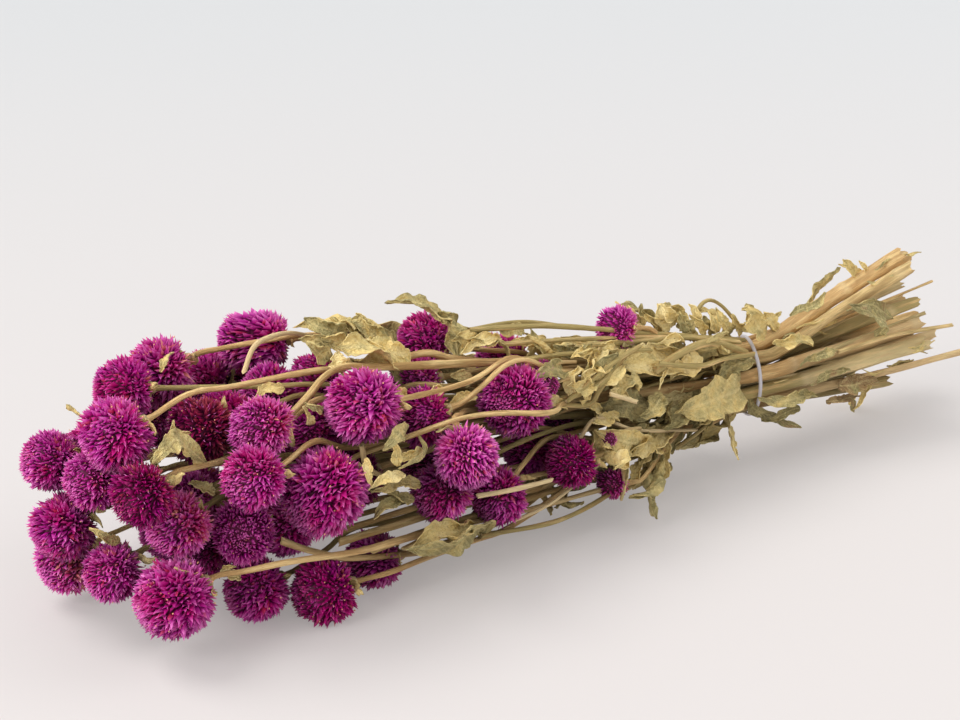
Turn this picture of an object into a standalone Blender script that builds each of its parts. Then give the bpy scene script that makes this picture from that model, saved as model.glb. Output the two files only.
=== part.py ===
# A bunch of dried globe amaranth lying on its side, held by one narrow band.
# Every flower head is a ball of pointed bracts in spiral rows with a flat base, set just
# off the leafy collar of its own stem. Several stems branch from one stalk, and a stalk
# with its branches and withered leaves is one piece. The bunch lies along X: flowers at
# the low end, cut stalks at the high end, table at height zero.
# Places are worked out in millimetres and turned into metres when a mesh is made.

import math
import bpy
import bmesh
import numpy as np
from mathutils import Vector

MILLIMETRE = 0.001

# From the middle of the band, where places are worked out, to the middle of the bunch.
BAND_FROM_MIDDLE = np.array([99.0, -2.5, 0.0])

# Colours: flowers, then stems and leaves, then the band.
FLOWER_COLOURS = {
    "bright": (0.38, 0.035, 0.22),
    "deep": (0.27, 0.018, 0.15),
    "shaded": (0.20, 0.014, 0.12),
}
STEM_COLOURS = {
    "tan": (0.47, 0.36, 0.19),
    "olive": (0.36, 0.31, 0.15),
}
BAND_COLOUR = (0.62, 0.60, 0.64)
FLOWER_ROUGHNESS = 0.6
STEM_ROUGHNESS = 0.75
BAND_ROUGHNESS = 0.5

# The viewpoint that the places of the visible heads are read from.
VIEW_AZIMUTH = math.radians(-30.0)
VIEW_ELEVATION = math.radians(24.0)
VIEW_DISTANCE = 900.0
VIEW_TARGET = np.array([-91.0, 54.0, 40.0])
VIEW_FOCAL = 2260.0
VIEW_CENTRE = (480.0, 360.0)

# Heads.
BASE_DEPTH = 0.80
HEAD_GAP = 0.3
HEAD_SPACING = 0.7
PAIR_OVERLAP = 0.80
BASE_CONE = math.radians(143.0)
TIP_LEAN = math.radians(9.0)
VALLEY_DEPTH = 0.80
TIPS_NEAR = 26
TIPS_FAR = 22
REST_SINK = 1.5
HEAD_SPIN = 2.4

# Stalks and the band.
BAND_HEIGHT = 34.0
STALK_COUNT = 11
SLOT_RADIUS = 11.9
INNER_SLOT_RADIUS = 5.2
INNER_STALKS = 5
STALK_LENGTH = 88.0
STALK_RADIUS_CUT = 3.0
STALK_RADIUS_BAND = 2.8
STALK_RADIUS_HEAD = 1.2
BRANCH_RADIUS_ROOT = 1.35
BRANCH_RADIUS_HEAD = 1.15
SIDE_STALK_RADIUS = 2.3
STEM_CLEARANCE = 1.4
PATH_STEP = 6.0
RING_TOLERANCE = 0.7
COLLAR_WIDTH = 0.25
COLLAR_REACH = 0.92
COLLAR_ROOM = 0.6
BAND_INNER_RADIUS = 15.1
BAND_THICKNESS = 1.0
BAND_WIDTH = 1.8

# Leaves.
BLADE_HALF_THICKNESS = 0.36
LEAF_ROWS = 6
SMALL_LEAF_ROWS = 5
SMALL_LEAF = 4.1

# Visible heads: piece, picture column and row of the centre, offset across the bunch,
# radius, direction of the tip in the picture in degrees, degrees it leans at the viewer,
# stretch along its own length.
VISIBLE_HEADS = [
    (1, 158, 374, 22, 12.6, 206, 15, 1.0),
    (2, 122, 388, 14, 10.8, 180, 10, 1.0),
    (3, 113, 437, -2, 12.4, 204, 20, 1.0),
    (4, 49, 461, 15, 10.8, 180, 20, 1.0),
    (5, 92, 480, 0, 10.4, 205, 35, 1.0),
    (6, 141, 497, -12, 10.8, 215, 30, 1.0),
    (7, 62, 529, 8, 11.8, 211, 15, 1.0),
    (8, 66, 562, 16, 11.4, 213, 25, 1.0),
    (9, 111, 573, -8, 10.6, 215, 20, 1.0),
    (10, 172, 600, -31, 14.0, 207, 20, 1.0),
    (11, 177, 527, -20, 11.6, 198, 30, 1.0),
    (12, 187, 498, -2, 10.0, 180, 20, 1.0),
    (13, 197, 432, -12, 11.6, 200, 40, 1.0),
    (14, 222, 420, 8, 10.5, 190, 20, 1.0),
    (15, 253, 341, 20, 10.4, 183, 5, 1.35),
    (16, 260, 428, -26, 11.0, 206, 45, 1.0),
    (17, 264, 392, 2, 10.6, 170, 10, 1.0),
    (18, 313, 432, -12, 10.8, 200, 20, 1.0),
    (19, 360, 406, -28, 13.4, 189, 25, 1.0),
    (17, 316, 380, 12, 10.4, 175, 10, 1.0),
    (20, 423, 341, 12, 11.0, 170, 10, 1.0),
    (21, 252, 479, -32, 10.8, 203, 45, 1.0),
    (22, 243, 531, -28, 11.4, 185, 70, 1.0),
    (23, 322, 493, -40, 14.0, 240, 20, 1.12),
    (24, 254, 590, -22, 11.8, 195, 15, 1.0),
    (25, 322, 591, -36, 12.0, 197, 20, 1.0),
    (26, 372, 560, -24, 11.0, 190, 10, 1.0),
    (27, 415, 382, -6, 10.0, 190, 10, 1.0),
    (28, 422, 418, -22, 10.6, 200, 10, 1.0),
    (29, 468, 459, -38, 11.6, 303, 20, 1.0),
    (30, 440, 494, -35, 10.8, 220, 30, 1.0),
    (31, 497, 498, -32, 10.8, 230, 30, 1.0),
    (32, 514, 402, -26, 13.0, 200, 65, 1.0),
    (33, 500, 361, 10, 10.4, 180, 10, 1.0),
    (34, 569, 462, -28, 9.8, 185, 15, 1.0),
    (35, 528, 450, -12, 10.6, 200, 20, 1.0),
    (35, 550, 425, -2, 10.0, 190, 10, 1.0),
    (36, 616, 328, -5, 8.4, 180, 10, 1.0),
    (37, 611, 483, -25, 6.4, 180, 10, 1.0),
    (38, 428, 466, -16, 10.4, 200, 20, 1.0),
    (39, 352, 478, -18, 10.6, 200, 20, 1.0),
    (40, 285, 528, -10, 10.8, 200, 20, 1.0),
    (41, 205, 548, -4, 10.6, 200, 20, 1.0),
]

# Heads on the far side: piece, centre along, across and up, radius. They go in pairs.
FAR_HEADS = [
    (42, -262, 34, 50, 11.6),
    (42, -252, 46, 33, 12.0),
    (43, -236, 34, 12, 12.6),
    (43, -214, 46, 16, 12.0),
    (44, -240, 44, 58, 12.0),
    (44, -222, 52, 44, 11.6),
    (45, -214, 38, 68, 11.2),
    (45, -196, 46, 56, 12.0),
    (46, -192, 54, 34, 12.0),
    (46, -176, 46, 18, 11.6),
    (47, -172, 42, 50, 11.6),
    (47, -158, 44, 34, 11.0),
    (48, -142, 34, 22, 11.0),
    (48, -128, 32, 36, 10.4),
]
FAR_FACING_FROM = np.array([-70.0, 0.0, 34.0])

# The first head of each of these pieces lies on the table.
RESTING_PIECES = (24, 25, 43)

# Marked turns of a stem, by piece: picture column and row, offset across the bunch.
STEM_TURNS = {
    16: [(345, 375, -24), (430, 365, -18), (540, 362, -9)],
    10: [(240, 577, -38), (270, 564, -41), (300, 558, -45), (350, 555, -44), (400, 540, -40)],
    25: [(400, 567, -37), (455, 546, -36), (510, 532, -34), (560, 522, -33), (600, 500, -28),
         (640, 478, -20)],
    29: [(446, 420, -36), (452, 409, -30), (478, 404, -16)],
    32: [(552, 403, -12), (574, 399, -11), (600, 375, -10), (622, 352, -8), (645, 350, -6),
         (672, 361, -4)],
    23: [(400, 440, -37), (440, 425, -37), (482, 410, -40)],
    34: [(628, 450, -20), (685, 426, -10)],
}

# Cut ends of the stalks that can be seen, by stalk: picture column and row, offset across.
CUT_ENDS = {
    3: (914, 318, 12),
    4: (900, 300, 6),
    5: (904, 254, -1),
    6: (909, 268, -9),
    7: (916, 330, -12),
    8: (925, 344, -19),
    9: (968, 350, -25),
    10: (882, 380, -12),
}

# Visible leaves: column, row and offset of the foot, the same of the tip, half width,
# arch, twist in degrees, wave height.
VISIBLE_LEAVES = [
    (374, 332, 6, 292, 328, 12, 5.0, 3.0, 35, 1.4),
    (404, 364, -14, 334, 350, -10, 7.5, 4.0, -20, 1.8),
    (452, 330, 2, 384, 303, 8, 7.0, 5.0, 10, 1.8),
    (505, 347, -4, 454, 339, -3, 4.4, 2.0, 25, 1.0),
    (592, 350, 2, 546, 352, 0, 4.6, 2.0, 0, 0.6),
    (602, 347, -8, 584, 382, -25, 4.2, 3.0, 20, 1.4),
    (678, 362, -12, 616, 370, -18, 7.6, 3.0, 10, 0.9),
    (644, 404, -16, 596, 408, -22, 6.2, 2.5, -10, 0.9),
    (742, 386, -17, 674, 414, -24, 8.4, 2.0, -15, 1.0),
    (686, 343, 0, 650, 342, 0, 2.8, 1.5, 0, 0.5),
    (726, 334, 0, 690, 310, 4, 5.0, 4.0, 40, 1.2),
    (690, 334, 2, 662, 304, 6, 4.6, 4.0, -20, 1.2),
    (660, 334, 4, 618, 306, 8, 5.4, 4.0, 20, 1.5),
    (772, 330, 2, 744, 306, 8, 4.4, 2.0, 20, 1.2),
    (650, 428, -14, 650, 488, -26, 5.6, 3.0, 20, 1.6),
    (644, 444, -22, 594, 430, -30, 5.4, 4.0, -15, 1.2),
    (676, 426, -12, 630, 482, -12, 5.0, 2.0, -10, 1.2),
    (484, 524, -38, 404, 549, -46, 6.4, 4.0, 10, 1.2),
    (432, 464, -46, 381, 499, -58, 4.0, 3.0, 30, 1.4),
    (404, 430, -42, 382, 450, -48, 3.2, 1.0, 0, 0.4),
    (174, 440, -24, 149, 472, -30, 4.0, 2.0, 10, 0.8),
    (90, 425, 12, 66, 404, 16, 3.0, 1.5, 0, 0.5),
    (624, 466, -29, 622, 500, -38, 2.0, 1.5, 0, 0.5),
    (886, 326, -20, 848, 304, -22, 4.6, 2.0, 15, 1.0),
    (862, 284, 4, 838, 264, 4, 3.4, 1.5, 20, 0.8),
    (744, 402, -12, 802, 428, -16, 4.0, 1.0, 10, 0.9),
]

# Leaves of the far side and the one that props up the stalks, as places.
FAR_LEAVES = [
    ((-120, 26, 62), (-168, 44, 70), 6.5, 4.0, 10, 1.6),
    ((-96, 24, 44), (-120, 46, 50), 6.0, 3.0, 20, 1.4),
    ((-70, 20, 28), (-104, 38, 20), 6.2, 3.0, -15, 1.4),
    ((-40, 15, 44), (-84, 30, 52), 6.4, 3.0, 10, 1.2),
    ((-60, 6, 16), (-110, 4, 6), 6.0, -3.0, 0, 1.2),
    ((-30, 3, 20), (-66, 2, 6), 4.6, -2.0, 10, 1.2),
    ((-18, 16, 30), (-56, 26, 24), 5.6, 2.0, 15, 1.2),
    ((34, 14, 42), (70, 30, 56), 5.0, 2.0, 10, 1.2),
    ((62, 8, 20), (66, 10, -0.8), 5.6, 2.0, 40, 1.2),
]


def view_axes():
    """Unit vectors of the viewpoint: into the picture, to its right and up."""
    azimuth = VIEW_AZIMUTH
    elevation = VIEW_ELEVATION
    into = np.array([-math.sin(azimuth) * math.cos(elevation),
                     math.cos(azimuth) * math.cos(elevation),
                     -math.sin(elevation)])
    right = np.array([math.cos(azimuth), math.sin(azimuth), 0.0])
    return into, right, np.cross(right, into)


INTO, RIGHTWARD, UPWARD = view_axes()
EYE = VIEW_TARGET - INTO * VIEW_DISTANCE


def seen_at(column, row, across):
    """The place on a line of sight that has the given offset across the bunch."""
    ray = (INTO * VIEW_FOCAL + RIGHTWARD * (column - VIEW_CENTRE[0])
           - UPWARD * (row - VIEW_CENTRE[1]))
    return EYE + ray * ((across - EYE[1]) / ray[1])


def unit(vector):
    """The same direction with length one."""
    return vector / (np.linalg.norm(vector) + 1e-9)


class Heads:
    """All the heads as arrays: piece, centre, radius, facing, stretch, seen."""

    def __init__(self):
        piece, centre, radius, facing, stretch, seen = [], [], [], [], [], []
        for number, column, row, across, size, turn, lean, long in VISIBLE_HEADS:
            in_plane = (math.cos(math.radians(turn)) * RIGHTWARD
                        + math.sin(math.radians(turn)) * UPWARD)
            piece.append(number)
            centre.append(seen_at(column, row, across))
            radius.append(size)
            facing.append(math.cos(math.radians(lean)) * in_plane
                          - math.sin(math.radians(lean)) * INTO)
            stretch.append(long)
            seen.append(True)
        for number, along, across, up, size in FAR_HEADS:
            place = np.array([along, across, up], float)
            outward = (place - FAR_FACING_FROM) * np.array([1.0, 1.5, 1.0])
            piece.append(number)
            centre.append(place)
            radius.append(size)
            facing.append(unit(outward))
            stretch.append(1.0)
            seen.append(False)
        self.piece = np.array(piece)
        self.centre = np.array(centre)
        self.radius = np.array(radius)
        self.facing = np.array(facing)
        self.stretch = np.array(stretch)
        self.seen = np.array(seen)
        self.count = len(piece)
        first = [piece.index(number) for number in RESTING_PIECES]
        self.resting = np.isin(np.arange(self.count), first)

    def balls(self):
        """Two balls for each head, drawn apart where the head is stretched."""
        shift = self.facing * ((self.stretch - 1.0) * self.radius)[:, None]
        return (np.concatenate([self.centre + shift, self.centre - shift]),
                np.concatenate([self.radius, self.radius]),
                np.concatenate([np.arange(self.count)] * 2))


def settle_heads(heads, rounds=600):
    """Slide heads along their lines of sight until none crosses another piece."""
    start = heads.centre.copy()
    sight = start - EYE
    sight /= np.linalg.norm(sight, axis=1)[:, None]
    same = heads.piece[:, None] == heads.piece[None, :]
    reach = heads.radius[:, None] + heads.radius[None, :]
    wanted = np.where(same, PAIR_OVERLAP * reach, reach + HEAD_SPACING)
    floor = np.where(heads.resting, heads.radius - REST_SINK, heads.radius + HEAD_SPACING)
    shift = (heads.stretch - 1.0) * heads.radius
    for _ in range(rounds):
        move = np.zeros_like(heads.centre)
        for sign_a in (1, -1):
            for sign_b in (1, -1):
                ends_a = heads.centre + heads.facing * (shift * sign_a)[:, None]
                ends_b = heads.centre + heads.facing * (shift * sign_b)[:, None]
                apart = ends_a[:, None] - ends_b[None]
                distance = np.linalg.norm(apart, axis=2) + 1e-9
                push = np.maximum(wanted - distance, 0.0)
                pull = np.where(same, np.maximum(distance - wanted, 0.0), 0.0)
                weight = push - pull
                np.fill_diagonal(weight, 0.0)
                move += (weight[..., None] * apart / distance[..., None]).sum(1) * 0.12
        along = (move * sight).sum(1)[:, None] * sight
        seen = heads.seen[:, None]
        heads.centre += np.where(seen, along + 0.35 * (move - along), move)
        off = heads.centre - start
        off_along = (off * sight).sum(1)[:, None] * sight
        heads.centre -= np.where(seen, 0.10 * (off - off_along), 0.0)
        height = heads.centre[:, 2]
        heads.centre[:, 2] = np.where(heads.resting, floor, np.maximum(height, floor))


def turn_stalks_clear(heads, rounds=120):
    """Turn each head until its collar and the first of its stem miss all other heads."""
    for _ in range(rounds):
        balls, sizes, owner = heads.balls()
        for depth, room in ((1.0, COLLAR_WIDTH * heads.radius + 0.5), (5.0, 2.4), (11.0, 2.4)):
            length = heads.radius * BASE_DEPTH + (heads.stretch - 1.0) * heads.radius + depth
            neck = heads.centre - heads.facing * length[:, None]
            apart = neck[:, None] - balls[None]
            distance = np.linalg.norm(apart, axis=2) + 1e-9
            lack = np.maximum(sizes[None] + np.broadcast_to(room, heads.radius.shape)[:, None]
                              - distance, 0.0)
            lack[np.arange(heads.count)[:, None] == owner[None]] = 0.0
            low = np.maximum(3.0 - neck[:, 2], 0.0)
            neck = neck + (lack[..., None] * apart / distance[..., None]).sum(1) * 0.3
            neck[:, 2] += low * 0.5
            facing = heads.centre - neck
            heads.facing = facing / np.linalg.norm(facing, axis=1)[:, None]


def even_curve(knots, step=PATH_STEP):
    """A smooth line through the knots with points at an even step."""
    knots = np.array(knots, float)
    padded = np.vstack([2 * knots[0] - knots[1], knots, 2 * knots[-1] - knots[-2]])
    runs = []
    for index in range(1, len(padded) - 2):
        a, b, c, d = padded[index - 1:index + 3]
        count = max(2, int(np.linalg.norm(c - b) / 1.5))
        t = np.linspace(0, 1, count, endpoint=False)[:, None]
        runs.append(0.5 * (2 * b + (c - a) * t + (2 * a - 5 * b + 4 * c - d) * t ** 2
                           + (3 * b - a - 3 * c + d) * t ** 3))
    points = np.vstack(runs + [knots[-1:]])
    lengths = np.linalg.norm(np.diff(points, axis=0), axis=1)
    travelled = np.concatenate([[0.0], np.cumsum(lengths)])
    count = max(4, int(round(travelled[-1] / step)))
    stations = np.linspace(0, travelled[-1], count + 1)
    return np.stack([np.interp(stations, travelled, points[:, k]) for k in range(3)], 1)


def bezier(a, b, c, d, count):
    """Points on a cubic curve from a to d."""
    t = np.linspace(0, 1, count)[:, None]
    return (1 - t) ** 3 * a + 3 * (1 - t) ** 2 * t * b + 3 * (1 - t) * t * t * c + t ** 3 * d


class Stem:
    """One stem: its points, the stalk piece it is part of, its head and its root."""

    def __init__(self, points, group, head, root):
        self.points = points
        self.group = group
        self.head = head
        self.root = root
        self.radius = self.radii()

    def radii(self):
        """Radius at every point: a stalk thins from its cut end to its head."""
        if self.head is None:
            return np.full(len(self.points), SIDE_STALK_RADIUS)
        if self.root is None:
            middle = 0.5 * (STALK_RADIUS_BAND + STALK_RADIUS_HEAD)
            return np.interp(-self.points[:, 0], [-90, 0, 90, 240],
                             [STALK_RADIUS_CUT, STALK_RADIUS_BAND, middle, STALK_RADIUS_HEAD])
        return np.linspace(BRANCH_RADIUS_ROOT, BRANCH_RADIUS_HEAD, len(self.points))


def around(angle, radius):
    """A place round the middle of the band."""
    return np.array([0.0, math.cos(angle) * radius, BAND_HEIGHT + math.sin(angle) * radius])


def cut_end(angle, radius, length, lift):
    """The place of a cut end: the stalks fan out and turn a little past the band."""
    place = around(angle, radius)
    place[0] = length
    place[2] += lift
    return place


def head_knots(heads, index, slot):
    """Knots of a stem from just past the band to the collar of its head."""
    centre = heads.centre[index]
    facing = heads.facing[index]
    radius = heads.radius[index]
    base = radius * BASE_DEPTH + (heads.stretch[index] - 1.0) * radius + HEAD_GAP
    collar = centre - facing * base
    near = collar - facing * 9.0
    first = slot + np.array([-30.0, 0.0, 0.0]) + (centre - slot) * np.array([0.0, 0.08, 0.08])
    piece = heads.piece[index]
    turns = STEM_TURNS.get(int(piece), [])
    if turns and list(heads.piece).index(piece) == index:
        return [first] + [seen_at(*turn) for turn in turns[::-1]] + [near, collar]
    outward = (near - first) * np.array([0.0, 0.15, 0.15])
    outward[0] = -abs(centre[0]) * 0.25
    back = near - facing * abs(near[0] - first[0]) * 0.3
    middle = bezier(first, first + outward, back, near, 5)[1:-1]
    return [first] + list(middle) + [near, collar]


def at_x(points, x):
    """The place on a line at a given x."""
    order = np.argsort(points[:, 0])
    sorted_points = points[order]
    return np.array([x, np.interp(x, sorted_points[:, 0], sorted_points[:, 1]),
                     np.interp(x, sorted_points[:, 0], sorted_points[:, 2])])


def branch_from(main, own, head_x, head_radius, turn):
    """A branch that leaves the stalk at a fork and eases over to its own line."""
    fork = -26.0 - 0.22 * abs(head_x) - 7.0 * turn
    fork = min(max(fork, head_x + head_radius + 30.0), -14.0)
    weight = np.clip((fork - own[:, 0]) / (0.30 * abs(head_x) + 10.0), 0, 1)
    weight = weight * (2 - weight)
    line = np.array([at_x(main, x) for x in own[:, 0]])
    line = line + (own - line) * weight[:, None]
    line = line[own[:, 0] < fork]
    root = int(np.argmin(np.linalg.norm(main - at_x(main, fork), axis=1)))
    return even_curve(np.vstack([main[root], line])), root


def plan_stems(heads):
    """Share the heads out to the stalks by their place round the bunch."""
    axis_height = BAND_HEIGHT - 12.0 * heads.centre[:, 0] / 250.0
    angle = np.degrees(np.arctan2(heads.centre[:, 2] - axis_height, heads.centre[:, 1]))
    order = np.argsort((angle + 90.0) % 360.0)
    stems = []
    mains = []
    for group, members in enumerate(np.array_split(order, STALK_COUNT)):
        angle = math.radians(-90.0 + 360.0 * (group + 0.5) / STALK_COUNT)
        slot = around(angle, SLOT_RADIUS)
        if group in CUT_ENDS:
            cut = seen_at(*CUT_ENDS[group])
        else:
            fan = SLOT_RADIUS * (1.55 + 0.45 * math.sin(2.4 * group))
            length = STALK_LENGTH + 9.0 * math.sin(5.1 * group + 1.0)
            cut = cut_end(angle + math.radians(24.0), fan, length, 4.0)
        members = sorted(members, key=lambda index: heads.centre[index, 0])
        for rank, index in enumerate(members):
            knots = head_knots(heads, index, slot)
            if rank == 0:
                way = [cut, 0.5 * (cut + slot), slot + np.array([14.0, 0, 0]), slot]
                mains.append(len(stems))
                stems.append(Stem(even_curve(way + knots), group, index, None))
                continue
            main = stems[mains[group]].points
            points, root = branch_from(main, even_curve(knots), heads.centre[index, 0],
                                       heads.radius[index], (rank * 2) % 3)
            stems.append(Stem(points, group, index, (mains[group], root)))
    for side in range(INNER_STALKS):
        group = int(round((side + 0.25) * STALK_COUNT / INNER_STALKS)) % STALK_COUNT
        angle = math.radians(-90.0 + 360.0 * (group + 0.5) / STALK_COUNT)
        slot = around(angle, INNER_SLOT_RADIUS)
        cut = cut_end(angle + math.radians(40.0), 14.0, 80.0 + 10.0 * math.sin(3 * side), 8.0)
        main = stems[mains[group]].points
        root = int(np.argmin(np.abs(main[:, 0] + 48.0)))
        way = [main[root], 0.5 * (slot + main[root]), slot + np.array([-8.0, 0, 0]),
               slot + np.array([12.0, 0, 0]), 0.5 * (slot + cut), cut]
        stems.append(Stem(even_curve(way), group, None, (mains[group], root)))
    return stems


def nearest_of_segments(start_a, run_a, start_b, run_b):
    """How far along two segments their nearest places lie, and the step between them."""
    gap = start_a - start_b
    aa = (run_a * run_a).sum(1)
    bb = (run_b * run_b).sum(1)
    ab = (run_a * run_b).sum(1)
    af = (run_a * gap).sum(1)
    bf = (run_b * gap).sum(1)
    spread = aa * bb - ab * ab
    s = np.where(spread > 1e-9, (ab * bf - af * bb) / np.maximum(spread, 1e-9), 0.5)
    s = np.clip(s, 0, 1)
    t = np.clip((ab * s + bf) / bb, 0, 1)
    s = np.clip((ab * t - af) / aa, 0, 1)
    return s, t, (start_a + run_a * s[:, None]) - (start_b + run_b * t[:, None])


class StemBundle:
    """All the points of all the stems in one array, for bending them clear."""

    def __init__(self, stems, heads):
        counts = [len(stem.points) for stem in stems]
        self.stems = stems
        self.start = np.concatenate([[0], np.cumsum(counts)])
        self.place = np.vstack([stem.points for stem in stems])
        self.radius = np.concatenate([stem.radius for stem in stems])
        self.stem = np.repeat(np.arange(len(stems)), counts)
        self.order = np.concatenate([np.arange(count) for count in counts])
        self.group = np.array([stem.group for stem in stems])[self.stem]
        owner = [-1 if stem.head is None else stem.head for stem in stems]
        self.owner = np.array(owner)[self.stem]
        self.branch = np.array([stem.root is not None for stem in stems])[self.stem]
        self.home = self.place.copy()
        self.fixed = np.zeros(len(self.place), bool)
        ends = self.start[1:] - 1
        self.fixed[ends[self.owner[ends] >= 0]] = True
        self.fixed[ends[self.owner[ends] >= 0] - 1] = True
        self.in_band = np.abs(self.place[:, 0]) < 10.0
        inner = ~(self.fixed | self.in_band)
        inner[self.start[:-1]] = False
        inner[ends] = False
        self.inner = np.where(inner)[0]
        self.first = np.where(self.order < np.array(counts)[self.stem] - 1)[0]
        self.balls, self.sizes, self.ball_owner = heads.balls()

    def follow_roots(self):
        """Keep each branch rooted on its stalk."""
        for index, stem in enumerate(self.stems):
            if stem.root is not None:
                main, step = stem.root
                self.place[self.start[index]] = self.place[self.start[main] + step]

    def near_pairs(self):
        """Segments of different stems that lie close to each other."""
        middle = 0.5 * (self.place[self.first] + self.place[self.first + 1])
        apart = np.linalg.norm(middle[:, None] - middle[None], axis=2)
        one, two = np.where(np.triu(apart < 15.0, 1))
        a = self.first[one]
        b = self.first[two]
        kin = self.group[a] == self.group[b]
        young_a = (self.order[a] < 3) & self.branch[a]
        young_b = (self.order[b] < 3) & self.branch[b]
        keep = (self.stem[a] != self.stem[b]) & ~(kin & (young_a | young_b))
        return a[keep], b[keep], kin[keep]

    def push_from_heads(self, move, count):
        """Push the stems off the heads."""
        a = self.place[self.first]
        run = self.place[self.first + 1] - a
        toward = self.balls[None] - a[:, None]
        t = np.clip((toward * run[:, None]).sum(2) / (run * run).sum(1)[:, None], 0, 1)
        apart = a[:, None] + t[..., None] * run[:, None] - self.balls[None]
        distance = np.linalg.norm(apart, axis=2) + 1e-9
        lack = self.sizes[None] + self.radius[self.first][:, None] + STEM_CLEARANCE - distance
        lack[self.owner[self.first][:, None] == self.ball_owner[None]] = -1.0
        rows, columns = np.where(lack > 0)
        weight = lack[rows, columns] / distance[rows, columns]
        push = apart[rows, columns] * weight[:, None]
        share = t[rows, columns]
        self.spread(move, count, self.first[rows], push, 1 - share)
        self.spread(move, count, self.first[rows] + 1, push, share)

    def push_from_stems(self, move, count, pairs):
        """Push close stems off each other."""
        a, b, kin = pairs
        run_a = self.place[a + 1] - self.place[a]
        run_b = self.place[b + 1] - self.place[b]
        s, t, apart = nearest_of_segments(self.place[a], run_a, self.place[b], run_b)
        distance = np.linalg.norm(apart, axis=1) + 1e-9
        across = np.cross(run_a, run_b)
        across /= np.linalg.norm(across, axis=1)[:, None] + 1e-9
        side = np.sign((across * (self.home[a] - self.home[b])).sum(1))
        across *= np.where(side == 0, 1, side)[:, None]
        direction = np.where(distance[:, None] < 0.2, across, apart / distance[:, None])
        room = np.where(kin, 0.4, STEM_CLEARANCE)
        lack = self.radius[a] + self.radius[b] + room - distance
        near = lack > 0
        push = direction[near] * lack[near][:, None] * 0.5
        a, b, s, t = a[near], b[near], s[near], t[near]
        self.spread(move, count, a, push, 1 - s)
        self.spread(move, count, a + 1, push, s)
        self.spread(move, count, b, -push, 1 - t)
        self.spread(move, count, b + 1, -push, t)

    @staticmethod
    def spread(move, count, index, push, share):
        """Add a push to points by their share of it."""
        np.add.at(move, index, push * share[:, None])
        np.add.at(count, index, share)

    def settle(self, rounds=260):
        """Smooth the stems and push them clear, over and over."""
        pairs = None
        for turn in range(rounds):
            self.follow_roots()
            inner = self.inner
            smooth = 0.5 * (self.place[inner - 1] + self.place[inner + 1]) - self.place[inner]
            stiffness = 0.3 if turn < rounds - 60 else 0.08
            self.place[inner] += stiffness * smooth
            self.place[inner] += 0.01 * (self.home[inner] - self.place[inner])
            move = np.zeros_like(self.place)
            count = np.zeros(len(self.place))
            self.push_from_heads(move, count)
            if turn % 8 == 0:
                pairs = self.near_pairs()
            self.push_from_stems(move, count, pairs)
            move /= np.maximum(count, 1.0)[:, None]
            move[self.fixed | self.in_band] = 0.0
            self.place += 1.05 * move
            low = self.radius + 0.6 - self.place[:, 2]
            raise_by = np.where((low > 0) & ~self.fixed & ~self.in_band, low, 0.0)
            self.place[:, 2] += raise_by
        self.follow_roots()
        for index, stem in enumerate(self.stems):
            stem.points = self.place[self.start[index]:self.start[index + 1]]


def kept_rings(points, tolerance=RING_TOLERANCE):
    """The points that a line needs to stay within a tolerance of its full run."""
    keep = [0]
    start = 0
    in_band = int(np.argmin(np.abs(points[:, 0])))
    crosses = points[:, 0].min() < 0.0 < points[:, 0].max()
    while start < len(points) - 1:
        reach = start + 1
        for end in range(start + 2, len(points)):
            run = points[end] - points[start]
            between = points[start + 1:end] - points[start]
            along = np.clip(between @ run / (run @ run), 0, 1)
            off = np.linalg.norm(between - along[:, None] * run, axis=1).max()
            if off > tolerance or (crosses and start < in_band + 1 and end > in_band - 1):
                break
            reach = end
        keep.append(reach)
        start = reach
    return keep


def side_frames(points):
    """Two directions square to a line at each point, carried along without a twist."""
    tangents = np.gradient(points, axis=0)
    tangents /= np.linalg.norm(tangents, axis=1)[:, None]
    side = unit(np.cross(tangents[0], np.array([0.0, 0.3, 1.0])))
    first = []
    second = []
    for tangent in tangents:
        side = unit(side - tangent * (side @ tangent))
        first.append(side)
        second.append(np.cross(tangent, side))
    return np.array(first), np.array(second)


def mesh_from(name, vertices, faces):
    """A mesh in metres from places in millimetres."""
    mesh = bpy.data.meshes.new(name)
    places = (np.asarray(vertices, float) + BAND_FROM_MIDDLE) * MILLIMETRE
    mesh.from_pydata(places.tolist(), [], faces)
    mesh.update()
    return mesh


def tube_faces(rings, sides):
    """Side faces between rings, as rows of points one after another."""
    faces = []
    for ring in range(rings - 1):
        for side in range(sides):
            after = (side + 1) % sides
            low = ring * sides
            faces.append((low + side, low + after, low + sides + after, low + sides + side))
    return faces


def stem_mesh(name, stem, heads, stems):
    """A closed tube along a stem, with a leafy collar under its head."""
    sides = 6 if stem.root is None else 4
    keep = kept_rings(stem.points)
    points = stem.points[keep]
    radius = stem.radius[keep]
    first, second = side_frames(points)
    angles = np.arange(sides) * 2 * math.pi / sides
    rings = []
    for index in range(len(points)):
        circle = (np.cos(angles)[:, None] * first[index]
                  + np.sin(angles)[:, None] * second[index])
        rings.append(points[index] + circle * radius[index])
    if stem.head is not None:
        rings = rings[:-1] + collar_rings(points[-1], stem, heads, stems, sides)
    vertices = np.vstack(rings)
    faces = tube_faces(len(rings), sides)
    faces.append(tuple(range(sides))[::-1])
    last = (len(rings) - 1) * sides
    faces.append(tuple(range(last, last + sides)))
    return mesh_from(name, vertices, faces)


def room_round(place, stem, heads, stems):
    """The clear distance from a place to other heads and to stems of other stalks."""
    balls, sizes, owner = heads.balls()
    distance = np.linalg.norm(balls - place, axis=1) - sizes
    room = distance[owner != stem.head].min()
    for other in stems:
        if other.group != stem.group:
            near = np.linalg.norm(other.points - place, axis=1) - other.radius - 1.2
            room = min(room, near.min())
    return min(room, place[2] - 0.2)


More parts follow.
